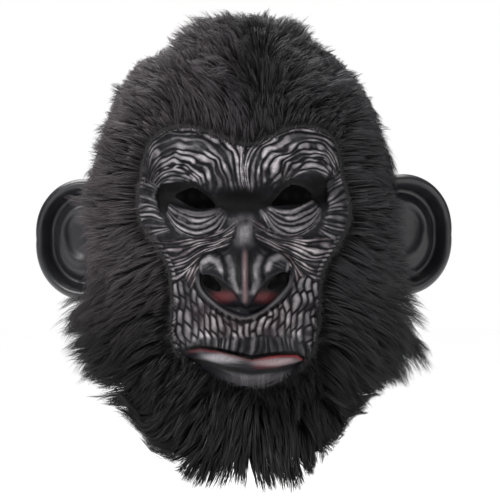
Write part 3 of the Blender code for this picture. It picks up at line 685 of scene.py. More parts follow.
def face_detail(x, y, z, from_edge):
    """The folds' height in millimetres, and the paint's silver, flush and black, all from the photograph's places; the
    black also carries painted shade.
    """
    u, v = photo_place(np.stack([x, y, z], axis=-1))
    flat = np.stack([u.ravel(), v.ravel(), np.zeros(u.size)], axis=-1)

    def wobble(size, seed):
        return lattice_noise(flat, size, seed).reshape(u.shape)

    warp_u = u + 2.2 * wobble(24, 1) + 0.6 * wobble(9, 2)
    warp_v = v + 2.2 * wobble(24, 3) + 0.6 * wobble(9, 4)
    mirrored = np.where(u < 245, u, 490 - u)
    edge_pixels = from_edge * 1000 / 0.69
    height = np.zeros_like(u)
    covered = np.zeros_like(u)
    silver = np.zeros_like(u)
    flush = np.zeros_like(u)

    # Bundles of folds, each laid over the ones before it.
    for number, (name, count, deep, silver_share, pink, guides) in enumerate(FOLD_BUNDLES):
        across, run, outside = fold_place(warp_u, warp_v, guides)
        length = sum(math.dist(a, b) for a, b in zip(guides[0], guides[0][1:]))
        inside = 1 - smoothstep(0.7, 2.4, outside)
        ragged = run + 0.07 * wobble(5, 16)
        inside *= smoothstep(-0.03, 0.08, ragged) * (1 - smoothstep(0.80, 1.02, ragged))
        ridge, crest = fold_ridges(across * count, run * length / 6.5, 100 + 5 * number)
        height = height * (1 - inside) + inside * deep * ridge
        covered = np.maximum(covered, inside)
        silver = silver * (1 - inside) + inside * silver_share * crest
        flush = np.maximum(flush, pink * inside * crest)

    # Beads run down beside the cheeks.
    beads = (1 - smoothstep(4.0, 5.5, edge_pixels)) * smoothstep(232, 240, v) * (1 - smoothstep(276, 286, v))
    beads *= np.where((u < 200) | (u > 290), 1, 0)
    bead = np.abs(np.sin(np.pi * v / 4.6))
    height = height * (1 - beads) + 1.3 * beads * bead**0.5
    silver = silver * (1 - beads) + 0.45 * beads * bead**3

    # Muzzle: upright scales in staggered rows that follow the rim under the nose.
    rim_line = guide(
        u, (160, 262), (180, 273), (200, 290), (210, 302), (222, 311), (247, 320), (272, 309), (284, 296),
        (292, 284), (306, 272), (326, 262),
    )
    column = ((u + warp_u) / 2 - 245) / 6.7 + 0.45 * wobble(15, 7)
    whole_column = np.floor(column)
    row = (v - rim_line - 1.0) / 16.5 + 0.20 * wobble(26, 6)
    laid = row + 0.5 * (whole_column % 2) + 0.22 * np.sin(whole_column * 5.1)
    part_row = laid - np.floor(laid)
    upright = np.abs(np.sin(np.pi * column))
    lapped = smoothstep(0.0, 0.24, part_row) * (1 - smoothstep(0.88, 1.0, part_row))
    above_lip = guide(u, (165, 356), (185, 346), (205, 338), (245, 338), (285, 337), (305, 343), (325, 352))
    muzzle = smoothstep(-0.1, 0.10, row) * smoothstep(-5, 6, above_lip - v + 3 * wobble(7, 13))
    muzzle *= 1 - 0.9 * smoothstep(0.0, 0.6, covered)
    swell = np.clip(0.72 + 0.8 * wobble(9, 8), 0.15, 1.0)
    scales = upright**0.6 * lapped**0.7 * (0.4 + 0.6 * swell)
    height = height * (1 - muzzle) + 2.3 * muzzle * scales
    # Painted light and shade: each scale's silver is lighter at its upper end and darker towards its foot.
    painted_scale_light = 0.55 + 0.45 * smoothstep(0.95, 0.25, part_row)
    silver = silver * (1 - muzzle) + 0.74 * muzzle * upright**1.6 * lapped * swell * painted_scale_light

    # Upper lip: soft dark upright folds under the last row of scales.
    mouth_down = guide(u, *MOUTH_LINE)
    lip_band = smoothstep(-3, 4, v - above_lip) * smoothstep(0, 5, mouth_down - v)
    ridge, crest = fold_ridges(warp_u / 6.2, v / 8, 61)
    height = height * (1 - lip_band) + 2.0 * lip_band * ridge
    silver = silver * (1 - lip_band) + 0.26 * lip_band * crest

    # Nose: wings, lobes and septum stand over the nostrils' bowl, which has a rim round its foot.
    body = inside_distance(u, v, smooth_outline(NOSE_BODY, 3))
    bowl = inside_distance(u, v, smooth_outline(NOSTRIL_BOWL, 3))
    on_nose = smoothstep(-1.5, 1.5, np.maximum(body, bowl + 4))
    height = height * (1 - on_nose)
    silver = silver * (1 - on_nose)
    flush = flush * (1 - on_nose)
    in_bowl = smoothstep(-1.2, 2.2, bowl) * smoothstep(-0.5, 2.5, -body)
    height -= 5.5 * in_bowl
    rim = np.exp(-(((bowl + 2.6) / 1.7) ** 2)) * smoothstep(272, 284, v)
    height += 1.9 * rim
    height -= 1.6 * np.exp(-(((bowl + 6.4) / 1.5) ** 2)) * smoothstep(276, 290, v)
    height += 1.6 * smoothstep(0, 7, body)
    on_body = smoothstep(-1.0, 2.0, body)
    wings = np.zeros_like(u)
    for line, wide, tall in NOSE_RIDGES:
        wings += tall * np.exp(-((line_distance(warp_u, warp_v, line) / wide) ** 2))
    grooves = np.zeros_like(u)
    for line in NOSE_GROOVES:
        grooves = np.maximum(grooves, np.exp(-((line_distance(warp_u, warp_v, line) / 2.1) ** 2)))
    height += on_body * (wings - 1.7 * grooves)
    septum = np.exp(-(((u - 245) / 2.4) ** 2)) * smoothstep(246, 256, v) * (1 - smoothstep(300, 306, v))
    valley = np.exp(-(((np.abs(u - 245) - 6.0) / 2.4) ** 2)) * smoothstep(250, 262, v) * (1 - smoothstep(284, 298, v))
    height += 1.0 * septum - 1.3 * valley
    wing_folds = smoothstep(2, 6, body) * smoothstep(246, 254, v) * smoothstep(8, 14, np.abs(u - 245))
    wrinkle, wrinkle_crest = fold_ridges((mirrored * 0.7 + warp_v) / 7.0, (mirrored - v) / 12, 71)
    height += 0.7 * wing_folds * wrinkle
    silver += 0.15 * wing_folds * wrinkle_crest

    # Mouth: one sharp line, the lower lip's roll, and the crease under it.
    foot_down = guide(u, *LIP_FOOT)
    in_mouth = smoothstep(183, 194, u) * (1 - smoothstep(300, 308, u))
    height -= 3.2 * np.exp(-(((v - mouth_down + 0.8) / 1.6) ** 2)) * in_mouth
    lip_share = (v - mouth_down) / np.maximum(foot_down - mouth_down, 2)
    lip = np.clip(np.sin(np.pi * np.clip(lip_share, 0, 1)), 0, 1) ** 0.7 * in_mouth
    height += 2.0 * lip
    height -= 1.5 * np.exp(-(((v - foot_down - 1.5) / 2.4) ** 2)) * in_mouth
    below_lip = smoothstep(2, 8, v - foot_down)
    streak, streak_crest = fold_ridges(warp_u / 4.0, v / 16, 81)
    height += 0.30 * below_lip * streak

    # The eye holes lie deep under the brow, and the brow overhangs a hollow between them.
    height -= 3.0 * oval(u, v, 184, 197, 34, 15, 0.6) * (1 - smoothstep(0.3, 0.8, covered))
    height -= 3.0 * oval(u, v, 301, 193, 34, 15, 0.6) * (1 - smoothstep(0.3, 0.8, covered))
    height -= 1.5 * oval(u, v, 244, 203, 26, 10, 0.6)

    # Fine skin between the folds.
    height += 0.16 * wobble(3.2, 9) + 0.10 * wobble(1.7, 10)

    # Paint: silver sits on the crests, and black stays in whatever lies below its own neighbourhood.
    # That black is partly black paint and partly painted shade in the low places.
    raised = height - blur(height, 5)
    worn = 0.82 + 0.45 * wobble(5, 11) + 0.60 * wobble(15, 12)
    silver *= worn * smoothstep(-0.4, 0.35, raised) * (1 + 0.55 * oval(u, v, 244, 168, 38, 30, 0.6))
    bridge = oval(u, v, 244, 232, 9.5, 17, 0.7) * (1 - smoothstep(240, 252, v))
    silver = np.maximum(silver, 0.38 * bridge * (0.75 + 0.5 * wobble(6, 15)))
    silver = np.maximum(silver, 0.20 * septum * (v < 304))
    # Painted highlight along the tops of the nose's wings and lobes.
    silver = np.maximum(silver, on_body * np.clip(wings - 0.7, 0, 1.2) ** 1.5 * 0.38 * worn)
    silver = np.maximum(silver, 0.16 * rim)
    bag_skin = covered * smoothstep(206, 212, v) * (1 - smoothstep(234, 244, v)) * smoothstep(-0.3, 0.2, raised)
    bag_skin *= oval(u, v, 197, 222, 30, 20, 0.4) + oval(u, v, 294, 221, 32, 20, 0.4)
    # Painted highlights on the lower lip's roll, one left and one right.
    lip_painted_highlight = oval(u, v, 224, 358.0, 21, 4.4, 0.6) * 0.56 + oval(u, v, 276, 361.5, 23, 4.0, 0.6) * 0.60
    silver = np.maximum(silver, np.clip(lip * lip_painted_highlight, 0, 0.8))
    silver = np.maximum(silver, 0.21 * below_lip * oval(u, v, 262, 383, 38, 15, 0.6) * (0.6 + 0.8 * streak_crest))
    silver = np.maximum(silver, 0.22 * bag_skin)
    bags = covered * smoothstep(203, 208, v) * (1 - smoothstep(238, 246, v))
    bare = 1 - smoothstep(0.3, 0.8, covered)
    # Painted shade: near-black round the eye holes, between the brows, along the lids, in the nostrils' bowls and the
    # nose's grooves, between the upper lip's folds and in every low place. The thin line at the face's edge is the
    # edge's own black.
    black_and_painted_shade = 1.0 * oval(warp_u, warp_v, 244, 203, 38, 13, 0.45)
    black_and_painted_shade = np.maximum(black_and_painted_shade, 1.0 * oval(warp_u, warp_v, 160, 193, 22, 20, 0.5) * bare)
    black_and_painted_shade = np.maximum(black_and_painted_shade, 1.0 * oval(warp_u, warp_v, 326, 188, 20, 20, 0.5) * bare)
    black_and_painted_shade = np.maximum(black_and_painted_shade, 0.75 * oval(warp_u, warp_v, 152, 174, 9, 13, 0.7))
    black_and_painted_shade = np.maximum(black_and_painted_shade, 0.75 * oval(warp_u, warp_v, 288, 174, 11, 7, 0.7))
    black_and_painted_shade = np.maximum(black_and_painted_shade, 0.85 * oval(warp_u, warp_v, 320, 181, 12, 6, 0.7))
    for lid in EYE_LIDS:
        black_and_painted_shade = np.maximum(black_and_painted_shade, 0.95 * (1 - smoothstep(1.0, 4.5, line_distance(warp_u, warp_v, lid))))
    black_and_painted_shade *= 1 - 0.8 * bags * (1 - oval(warp_u, warp_v, 244, 203, 24, 11, 0.45))
    black_and_painted_shade = np.maximum(black_and_painted_shade, 0.97 * in_bowl * (1 - smoothstep(286, 297, v)))
    black_and_painted_shade = np.maximum(black_and_painted_shade, 0.80 * np.exp(-(((bowl + 5.4) / 2.2) ** 2)) * smoothstep(276, 290, v))
    black_and_painted_shade = np.maximum(black_and_painted_shade, 0.85 * grooves * on_body)
    black_and_painted_shade = np.maximum(black_and_painted_shade, 0.9 * (1 - smoothstep(0.6, 1.9, edge_pixels)))
    black_and_painted_shade = np.maximum(black_and_painted_shade, 0.65 * lip_band * (1 - crest))
    black_and_painted_shade = np.maximum(black_and_painted_shade, (0.95 - 0.25 * muzzle) * smoothstep(-0.1, 0.7, -raised) * (1 - in_bowl))
    flush = np.maximum(flush, 0.25 * in_bowl * (oval(u, v, 223, 296, 11, 6, 0.7) + oval(u, v, 265, 297, 10, 6, 0.7)))
    lip_edge = np.exp(-(((v - mouth_down - 1.6) / 2.0) ** 2)) * in_mouth
    flush = np.maximum(flush, lip_edge * (0.22 + 0.55 * smoothstep(246, 275, u)))
    flush = np.maximum(flush, 0.22 * lip * smoothstep(248, 262, u) * (1 - smoothstep(285, 306, u)))
    flush = np.maximum(flush, 0.16 * septum)
    flush = np.maximum(flush, 0.03 * muzzle * oval(u, v, 245, 318, 60, 26, 0.6))
    masks = np.stack([silver, flush, black_and_painted_shade], axis=-1)
    return height, np.clip(masks, 0, 1), u, v


def blur(values, reach):
    """Values averaged over about reach cells each way."""
    soft = values
    for axis in (0, 1):
        for _ in range(2):
            padded = np.pad(soft, [(reach, reach) if a == axis else (0, 0) for a in (0, 1)], mode="edge")
            sums = np.cumsum(padded, axis=axis)
            sums = np.concatenate([np.zeros_like(np.take(sums, [0], axis=axis)), sums], axis=axis)
            size = values.shape[axis]
            high = np.take(sums, np.arange(2 * reach + 1, 2 * reach + 1 + size), axis=axis)
            low = np.take(sums, np.arange(size), axis=axis)
            soft = (high - low) / (2 * reach + 1)
    return soft


def make_face(material):
    """The face's painted skin with its holes, and a plain inner side behind it."""
    across, down = face_grid(FACE_ROWS, FACE_COLUMNS)
    x, z = face_place(across, down)
    from_edge = edge_distance(x, z)
    rolled = smoothstep(0.0, EDGE_ROLL, from_edge)
    base = hood_front(x, z)
    form = SEAT_GAP + FACE_WALL * (1 + 0.6 * rolled) + rolled * relief(x, z)
    y = base - form
    height, masks, u, v = face_detail(x, y, z, from_edge)
    fold_room = smoothstep(0.0, 0.0025, from_edge)
    y = y - height * 0.001 * fold_room
    skin_points = np.stack([x, y, z], axis=-1)
    inner_y = np.minimum(base - SEAT_GAP - rolled * np.maximum(relief(x, z) - 0.0015, 0), y + FACE_WALL)
    holes = [smooth_outline(outline) for outline in (*EYE_HOLES.values(), *NOSTRIL_PITS.values())]
    open_depth = np.max([inside_distance(u, v, outline) for outline in holes], axis=0)
    faces = grid_faces(FACE_ROWS + 1, FACE_COLUMNS + 1)
    kept = open_depth.ravel()[faces].min(axis=1) < 0
    snapped = snap_to_outlines(skin_points, u, v, holes, open_depth)
    walls, wall_points, wall_colours = hole_walls(snapped, faces[kept], masks, inner_y)
    points = np.concatenate([snapped.reshape(-1, 3), wall_points])
    colours = np.concatenate([masks.reshape(-1, 3), wall_colours])
    used, points, colours = drop_loose(np.concatenate([faces[kept], walls]), points, colours)
    face = mesh_piece("face_skin", points, used, material, colours)
    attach(face, "root")
    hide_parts("face_shell")
    make_face_lining(material, x, y, z, open_depth)


def farthest(values, reach):
    """The largest value within reach cells of each."""
    for axis in (0, 1):
        values = np.max([np.roll(values, shift, axis) for shift in range(-reach, reach + 1)], axis=0)
    return values


def make_face_lining(material, x, skin_y, z, open_depth):
    """The face's inner side, plain and black, on every fourth row and column, behind all of the skin near it."""
    step = 4
    pick = np.ix_(np.arange(0, FACE_ROWS + 1, step), np.arange(0, FACE_COLUMNS + 1, step))
    points = np.stack([x[pick], farthest(skin_y, step)[pick] + 0.0008, z[pick]], axis=-1)
    rows, columns = points.shape[:2]
    faces = grid_faces(rows, columns)[:, ::-1]
    kept = open_depth[pick].ravel()[faces].max(axis=1) < 0
    colours = np.zeros((rows * columns, 3))
    used, places, colours = drop_loose(faces[kept], points.reshape(-1, 3), colours)
    lining = mesh_piece("face_lining", places, used, material, colours)
    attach(lining, "root")


def grid_faces(rows, columns):
    """Quads of a grid, wound so that the face's normals look out along -Y."""
    index = np.arange(rows * columns).reshape(rows, columns)
    quads = np.stack([index[:-1, :-1], index[1:, :-1], index[1:, 1:], index[:-1, 1:]], axis=-1)
    return quads.reshape(-1, 4)


def snap_to_outlines(points, u, v, holes, open_depth):
    """Moves the points that lie within a cell of a hole's outline onto it."""
    snapped = points.copy()
    near = np.abs(open_depth) < 0.55
    for outline in holes:
        ring = np.array(outline)
        for row, column in np.argwhere(near):
            here = np.array([u[row, column], v[row, column]])
            gaps = np.hypot(*(ring - here).T)
            closest = int(gaps.argmin())
            if gaps[closest] > 2.5:
                continue
            best = closest_on_ring(here, ring, closest)
            if np.hypot(*(best - here)) < 0.6:
                depth = points[row, column, 1] - CAMERA_PLACE[1]
                snapped[row, column, 0] += (best[0] - here[0]) * depth / FOCAL_PIXELS
                snapped[row, column, 2] -= (best[1] - here[1]) * depth / FOCAL_PIXELS
    return snapped


def closest_on_ring(here, ring, index):
    """The closest point to here on the two pieces of a ring that meet at a corner."""
    best, least = ring[index], 1e9
    for other in (index - 1, (index + 1) % len(ring)):
        run = ring[other] - ring[index]
        share = np.clip(np.dot(here - ring[index], run) / max(np.dot(run, run), 1e-9), 0, 1)
        point = ring[index] + share * run
        gap = np.hypot(*(point - here))
        if gap < least:
            best, least = point, gap
    return best


def hole_walls(points, faces, masks, inner_y):
    """Quads that run back from every open side of the skin, through the latex, with their new points."""
    flat = points.reshape(-1, 3)
    sides = np.concatenate([faces[:, [0, 1]], faces[:, [1, 2]], faces[:, [2, 3]], faces[:, [3, 0]]])
    keys = np.sort(sides, axis=1)
    _, first, counts = np.unique(keys, axis=0, return_index=True, return_counts=True)
    open_sides = sides[first[counts == 1]]
    corners, index = np.unique(open_sides, return_inverse=True)
    index = index.reshape(-1, 2)
    back = flat[corners].copy()
    back[:, 1] = np.maximum(inner_y.ravel()[corners], back[:, 1] + 0.0012)
    start = len(flat)
    walls = np.stack([open_sides[:, 1], open_sides[:, 0], start + index[:, 0], start + index[:, 1]], axis=-1)
    # The walls get the full near-black: black latex with painted shade inside the eye holes and nostrils.
    colours = np.stack([np.zeros(len(corners)), np.zeros(len(corners)), np.ones(len(corners))], axis=-1)
    return walls, back, colours


def drop_loose(faces, points, colours):
    """The same faces with only the points that they use."""
    used, index = np.unique(faces, return_inverse=True)
    return index.reshape(faces.shape), points[used], colours[used]


# The ears


EAR_PROFILE = (
    # reach, rise: from the middle of the dish out to the rim's back edge
    (0.00, 0.16),
    (0.20, 0.16),
    (0.38, 0.20),
    (0.52, 0.34),
    (0.62, 0.12),
    (0.70, -0.22),
    (0.76, -0.10),
    (0.80, 0.42),
    (0.85, 0.84),
    (0.91, 1.00),
    (0.96, 0.86),
    (1.00, 0.45),
    (0.985, 0.02),
    (0.93, -0.22),
    (0.78, -0.42),
    (0.50, -0.44),
    (0.25, -0.42),
    (0.00, -0.42),
)


# The right ear was glued on a little higher than the left one.
RIGHT_EAR_RISE = 0.0035


def ear_radius(angle):
    """The ear's radius at an angle about its middle, from 0 away from the head. Its lower part narrows."""
    tall, wide = EAR_HEIGHT / 2, EAR_REACH / 2
    oval_radius = tall * wide / np.hypot(tall * np.cos(angle), wide * np.sin(angle))
    lobe = np.maximum(0.0, -np.sin(angle)) * np.maximum(0.0, -np.cos(angle))
    full = np.maximum(0.0, np.cos(angle)) * np.abs(np.sin(angle))
    return oval_radius * (1 - 0.12 * lobe + 0.10 * full)


def make_ears(material):
    """Each ear: a dish with a rolled rim, a groove inside it, a soft inner ridge and uneven hand-finished skin."""
    around, across = 120, 76
    steps = len(EAR_PROFILE) - 1
    shares = np.linspace(0, steps, across + 1)
    profile = np.array([smooth_row(EAR_PROFILE, min(int(s), steps - 1), s - min(int(s), steps - 1)) for s in shares])
    profile[:, 0] = np.clip(profile[:, 0], 0.0, 1.0)
    for name, side in (("ear_left", -1), ("ear_right", 1)):
        angle = np.linspace(0, 2 * math.pi, around, endpoint=False)[None, :]
        reach, rise = profile[:, 0][:, None], profile[:, 1][:, None]
        radius = ear_radius(angle) * reach
        out, up = radius * np.cos(angle), radius * np.sin(angle)
        front = (np.arange(across + 1) < across * 0.70)[:, None]
        rim_tone = 0.85 + 0.25 * np.sin(angle + 0.6) ** 2
        lift = rise * EAR_RIM_HEIGHT * np.where(rise > 0.3, rim_tone, 1.0)
        ridge = np.exp(-(((reach - 0.47 - 0.10 * np.sin(angle)) / 0.07) ** 2)) * smoothstep(-0.2, 0.5, np.cos(angle))
        lift = lift + front * 0.0014 * ridge
        flat = np.stack([out.ravel(), up.ravel(), np.full(out.size, side * 0.5)], axis=-1)
        lift = lift + 0.0005 * lattice_noise(flat, 0.014, 31).reshape(out.shape) * smoothstep(0.1, 0.5, reach)
        sweep = math.radians(EAR_SWEEP_DEG)
        raised = RIGHT_EAR_RISE if side > 0 else 0.0
        middle = np.array([side * (EAR_TIP_SPAN - EAR_REACH) / 2, EAR_ROOT_Y, HOOD_WALL - EAR_DROP + raised])
        out_way = np.array([side * math.cos(sweep), math.sin(sweep), 0])
        rise_way = np.array([side * math.sin(sweep), -math.cos(sweep), 0])
        points = middle + out[..., None] * out_way + up[..., None] * np.array([0, 0, 1]) + lift[..., None] * rise_way
        index = np.arange((across + 1) * around).reshape(across + 1, around)
        after = np.roll(index, -1, axis=1)
        quads = np.stack([index[:-1], after[:-1], after[1:], index[1:]], axis=-1).reshape(-1, 4)
        quads = quads if side < 0 else quads[:, ::-1]
        ear = mesh_piece(name + "_skin", points.reshape(-1, 3), quads, material)
        weld = ear.modifiers.new("weld", "WELD")
        weld.merge_threshold = 0.00001
        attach(ear, "root")
        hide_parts(name)


# The fur


FLOW_FOCUS = np.array([0.0, -0.105, -0.160])
STRAND_POINTS = 5
STRANDS_PER_PIECE = 26000
FUR_PIECES = 4
COMBED_WIDTH = 0.018


def triangles_of(obj):
    """Corner places of an object's triangles, each wound as the object has it."""
    data = obj.data
    data.calc_loop_triangles()
    places = np.empty(len(data.vertices) * 3, np.float32)
    data.vertices.foreach_get("co", places)
    corners = np.empty(len(data.loop_triangles) * 3, np.int32)
    data.loop_triangles.foreach_get("vertices", corners)
    return places.reshape(-1, 3).astype(float), corners.reshape(-1, 3)


def hood_outside(node):
    """The triangles of the hood's outer side, with a smooth normal at each corner."""
    places, corners = triangles_of(node)
    _, index = np.unique(np.round(places, 5), axis=0, return_inverse=True)
    index = index.reshape(-1)
    merged = np.zeros((index.max() + 1, 3))
    merged[index] = places
    corners = index[corners]
    a, b, c = (merged[corners[:, k]] for k in range(3))
    cross = np.cross(b - a, c - a)
    area = np.linalg.norm(cross, axis=1) / 2
    normal = cross / np.maximum(2 * area, 1e-12)[:, None]
    middle = (a + b + c) / 3
    outward = ((middle - np.array([0, 0, -0.13])) * normal).sum(axis=1) > 0
    kept = outward & (normal[:, 2] > -0.6) & (area > 1e-9)
    corner_normals = np.zeros_like(merged)
    for k in range(3):
        np.add.at(corner_normals, corners[kept, k], cross[kept])
    corner_normals /= np.maximum(np.linalg.norm(corner_normals, axis=1), 1e-12)[:, None]
    return merged, corners[kept], area[kept], corner_normals


def spread_roots(surface, count, chance):
    """Random places on the hood's outer side, with their normals."""
    merged, corners, area, corner_normals = surface
    pick = chance.choice(len(corners), count, p=area / area.sum())
    r1, r2 = np.sqrt(chance.random(count)), chance.random(count)
    weights = np.stack([1 - r1, r1 * (1 - r2), r1 * r2], axis=-1)
    roots = (merged[corners[pick]] * weights[..., None]).sum(axis=1)
    normals = (corner_normals[corners[pick]] * weights[..., None]).sum(axis=1)
    return roots, normals / np.linalg.norm(normals, axis=1)[:, None]


def unit(vectors):
    return vectors / np.maximum(np.linalg.norm(vectors, axis=-1), 1e-9)[..., None]


def flow_at(points, normals, off_face):
    """Which way the pile lies: off the face's edge, over the crown and down the back, parted on the brow."""
    away = unit(points - FLOW_FOCUS)
    behind = smoothstep(-0.07, 0.05, points[:, 1])
    level = points[:, 2]
    away[:, 2] -= 1.5 * behind * smoothstep(-0.02, -0.06, level) * (1 - 0.7 * smoothstep(-0.17, -0.22, level))
    facing = -points[:, 1] / np.maximum(np.hypot(points[:, 0], points[:, 1]), 1e-6)
    beside = (1 - smoothstep(0.45, 0.85, facing)) * smoothstep(-0.15, -0.22, level)
    away[:, 2] *= 1 - 0.65 * beside
    away[:, 0] *= 1 - 0.75 * smoothstep(0.60, 0.90, facing) * smoothstep(-0.20, -0.25, level)
    top = smoothstep(-0.09, -0.03, level) * (1 - behind)
    away[:, 0] += 0.8 * top * np.tanh((points[:, 0] - 0.010) / 0.012)
    away += 0.56 * np.stack([lattice_noise(points, 0.040, 40 + k) for k in range(3)], axis=-1)
    away += 0.38 * np.stack([lattice_noise(points, 0.017, 50 + k) for k in range(3)], axis=-1)
    away += 1.6 * off_face
    along_skin = away - (away * normals).sum(axis=1)[:, None] * normals
    return unit(along_skin)


def pile_height(points):
    """How far the pile stands off the hood at places of it, in metres."""
    drop, front, side, back = np.array(FUR_PILE).T
    level = np.clip((HOOD_WALL - points[:, 2]) / 0.25, 0, 1)
    facing = -points[:, 1] / np.maximum(np.hypot(points[:, 0], points[:, 1]), 1e-6)
    ahead, behind = smoothstep(0.45, 0.95, facing), smoothstep(0.2, 0.9, -facing)
    at_side = np.interp(level, drop, side)
    right = smoothstep(-0.01, 0.01, points[:, 0])
    temple = smoothstep(0.02, 0.10, level) * (1 - smoothstep(0.20, 0.36, level))
    jaw = 0.30 * (1 - right) * smoothstep(0.88, 0.98, level) + 0.30 * right * smoothstep(0.84, 0.97, level)
    at_side = at_side * (1 - 0.20 * temple * (0.6 + 0.7 * right)) * (1 - jaw)
    at_side += 0.10 * (1 - right) * np.exp(-(((level - 0.42) / 0.12) ** 2))
    at_side += (0.14 + 0.04 * right) * np.exp(-(((level - 0.78) / 0.06) ** 2))
    at_front = np.interp(level, drop, front)
    at_back = np.interp(level, drop, back)
    peak = 0.22 * np.exp(-(((points[:, 0] - 0.003) / 0.046) ** 2)) * smoothstep(-0.035, -0.005, points[:, 2])
    shoulder = smoothstep(0.024, 0.052, np.abs(points[:, 0]) - 0.004 * right) * (1 - smoothstep(0.06, 0.14, level))
    height = at_side + (at_front - at_side) * ahead + (at_back - at_side) * behind + peak
    return FUR_LENGTH * height * (1 - 0.42 * shoulder)


def strand_paths(roots, normals, off_face, height, lean, chance, turn=0.0):
    """Five points along each strand: it rises, lies over along the flow, sags, and waves a little. Turn is how far
    chance alone turns it off the flow, less so beside the face."""
    count = len(roots)
    beside = np.linalg.norm(off_face, axis=1)
    height = height * (1 - 0.45 * beside)
    turned = turn * (1 - 0.85 * beside)[:, None] * chance.normal(size=(count, 3))
    flow = unit(flow_at(roots, normals, off_face) + turned)
    share = np.linspace(0, 1, STRAND_POINTS)[None, :, None]
    rise = normals[:, None] * (1 - (1 - share) ** 1.7) * height[:, None, None]
    lie = flow[:, None] * share**1.4 * (height * lean)[:, None, None]
    sag = np.array([0, 0, -1.0]) * share**2.2 * (0.22 * height)[:, None, None]
    bend = unit(chance.normal(size=(count, 3)))
    wave = bend[:, None] * np.sin(share * 4.5 + chance.random((count, 1, 1)) * 6) * share
    return roots[:, None] + rise + lie + sag + wave * (0.085 * height)[:, None, None]


def comb_off(tree, roots):
    """For each root, the way off the face's edge, 1 long at the edge and 0 long from COMBED_WIDTH away."""
    ways = np.zeros((len(roots), 3))
    for index, root in enumerate(roots):
        place, _, _, gap = tree.find_nearest(Vector(root), COMBED_WIDTH)
        if place is not None:
            share = gap / COMBED_WIDTH
            ways[index] = (root - np.array(place)) / max(gap, 1e-6) * (1 - share * share * (3 - 2 * share))
    return ways


def nearest_index(centres, points):
    tree = KDTree(len(centres))
    for index, centre in enumerate(centres):
        tree.insert(Vector(centre), index)
    tree.balance()
    return np.array([tree.find(Vector(point))[1] for point in points])


def clear_of(trees, roots, gap):
    """Which roots lie further than gap from every tree's surface."""
    kept = []
    for root in roots:
        place = Vector(root)
        kept.append(all((tree.find_nearest(place, gap)[0] is None) for tree in trees))
    return np.array(kept)


def gather(paths, roots, centre_paths, centre_roots, group, pull, chance):
    """Draws each strand's outer part towards its lock's own path."""
    share = np.linspace(0, 1, STRAND_POINTS)[None, :, None]
    target = centre_paths[group] + (roots - centre_roots[group])[:, None] * (1 - 0.72 * share)
    weight = pull * share**0.9 * chance.uniform(0.75, 1.0, (len(paths), 1, 1))
    return paths * (1 - weight) + target * weight


def make_fur(pile, ground):
    """The long pile in four pieces, combed into locks, over a short dense ground."""
    chance = np.random.default_rng(11)
    surface = hood_outside(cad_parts["hood"])
    places, corners = triangles_of(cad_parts["face_shell"])
    face_tree = BVHTree.FromPolygons(places.tolist(), corners.tolist())
    ear_trees = []
    for name in ("ear_left", "ear_right"):
        places, corners = triangles_of(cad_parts[name])
        ear_trees.append(BVHTree.FromPolygons(places.tolist(), corners.tolist()))
    make_ground(surface, face_tree, ground)
    total = STRANDS_PER_PIECE * FUR_PIECES
    roots, normals = spread_roots(surface, int(total * 1.35), chance)
    kept = clear_of([face_tree], roots, 0.0016) & clear_of(ear_trees, roots, 0.0030)
    roots, normals = roots[kept][:total], normals[kept][:total]
    height = pile_height(roots) * np.clip(chance.normal(0.90, 0.16, len(roots)), 0.5, 1.25)
    lean = chance.uniform(0.5, 1.05, len(roots))
    lean *= 1 + 0.8 * smoothstep(-0.23, -0.28, roots[:, 2])
    off_face = comb_off(face_tree, roots)
    paths = strand_paths(roots, normals, off_face, height, lean, chance)
    tone = np.zeros(len(roots))
    for locks, pull, turn, tone_share in ((380, 0.60, 0.45, 0.9), (2600, 0.52, 0.34, 0.5), (12000, 0.34, 0.16, 0.3)):
        chosen = chance.choice(len(roots), locks, replace=False)
        centre_height = pile_height(roots[chosen]) * np.clip(chance.normal(1.0, 0.17, locks), 0.6, 1.35)
        centre_lean = chance.uniform(0.4, 1.05, locks) * (1 + 0.8 * smoothstep(-0.23, -0.28, roots[chosen, 2]))
        centre_paths = strand_paths(
            roots[chosen], normals[chosen], off_face[chosen], centre_height, centre_lean, chance, turn
        )
        group = nearest_index(roots[chosen], roots)
        tone += tone_share * chance.uniform(-1, 1, locks)[group]
        paths = gather(paths, roots, centre_paths, roots[chosen], group, pull, chance)
    paths = rest_on_shoulders(paths)
    colours = strand_colours(roots, tone, chance)
    for number in range(FUR_PIECES):
        part = slice(number * STRANDS_PER_PIECE, (number + 1) * STRANDS_PER_PIECE)
        make_strands(f"fur_pile_{number + 1}", paths[part], colours[part], normals[part], pile, chance)


def rest_on_shoulders(paths):
    """Turns the strands outwards where they would hang past the hem: the bib hangs lowest."""
    facing = -paths[..., 1] / np.maximum(np.hypot(paths[..., 0], paths[..., 1]), 1e-6)
    rounded = 1 - smoothstep(0.025, 0.092, np.abs(paths[..., 0]))
    lowest = -0.258 - 0.068 * smoothstep(0.20, 0.55, facing) * rounded
    lowest += 0.011 * lattice_noise(paths[:, 2], 0.011, 60)[:, None]
    soft = 0.008
    above = (paths[..., 2] - lowest) / soft
    paths[..., 2] = lowest + soft * np.where(above > 20, above, np.log1p(np.exp(np.minimum(above, 20))))
    return paths


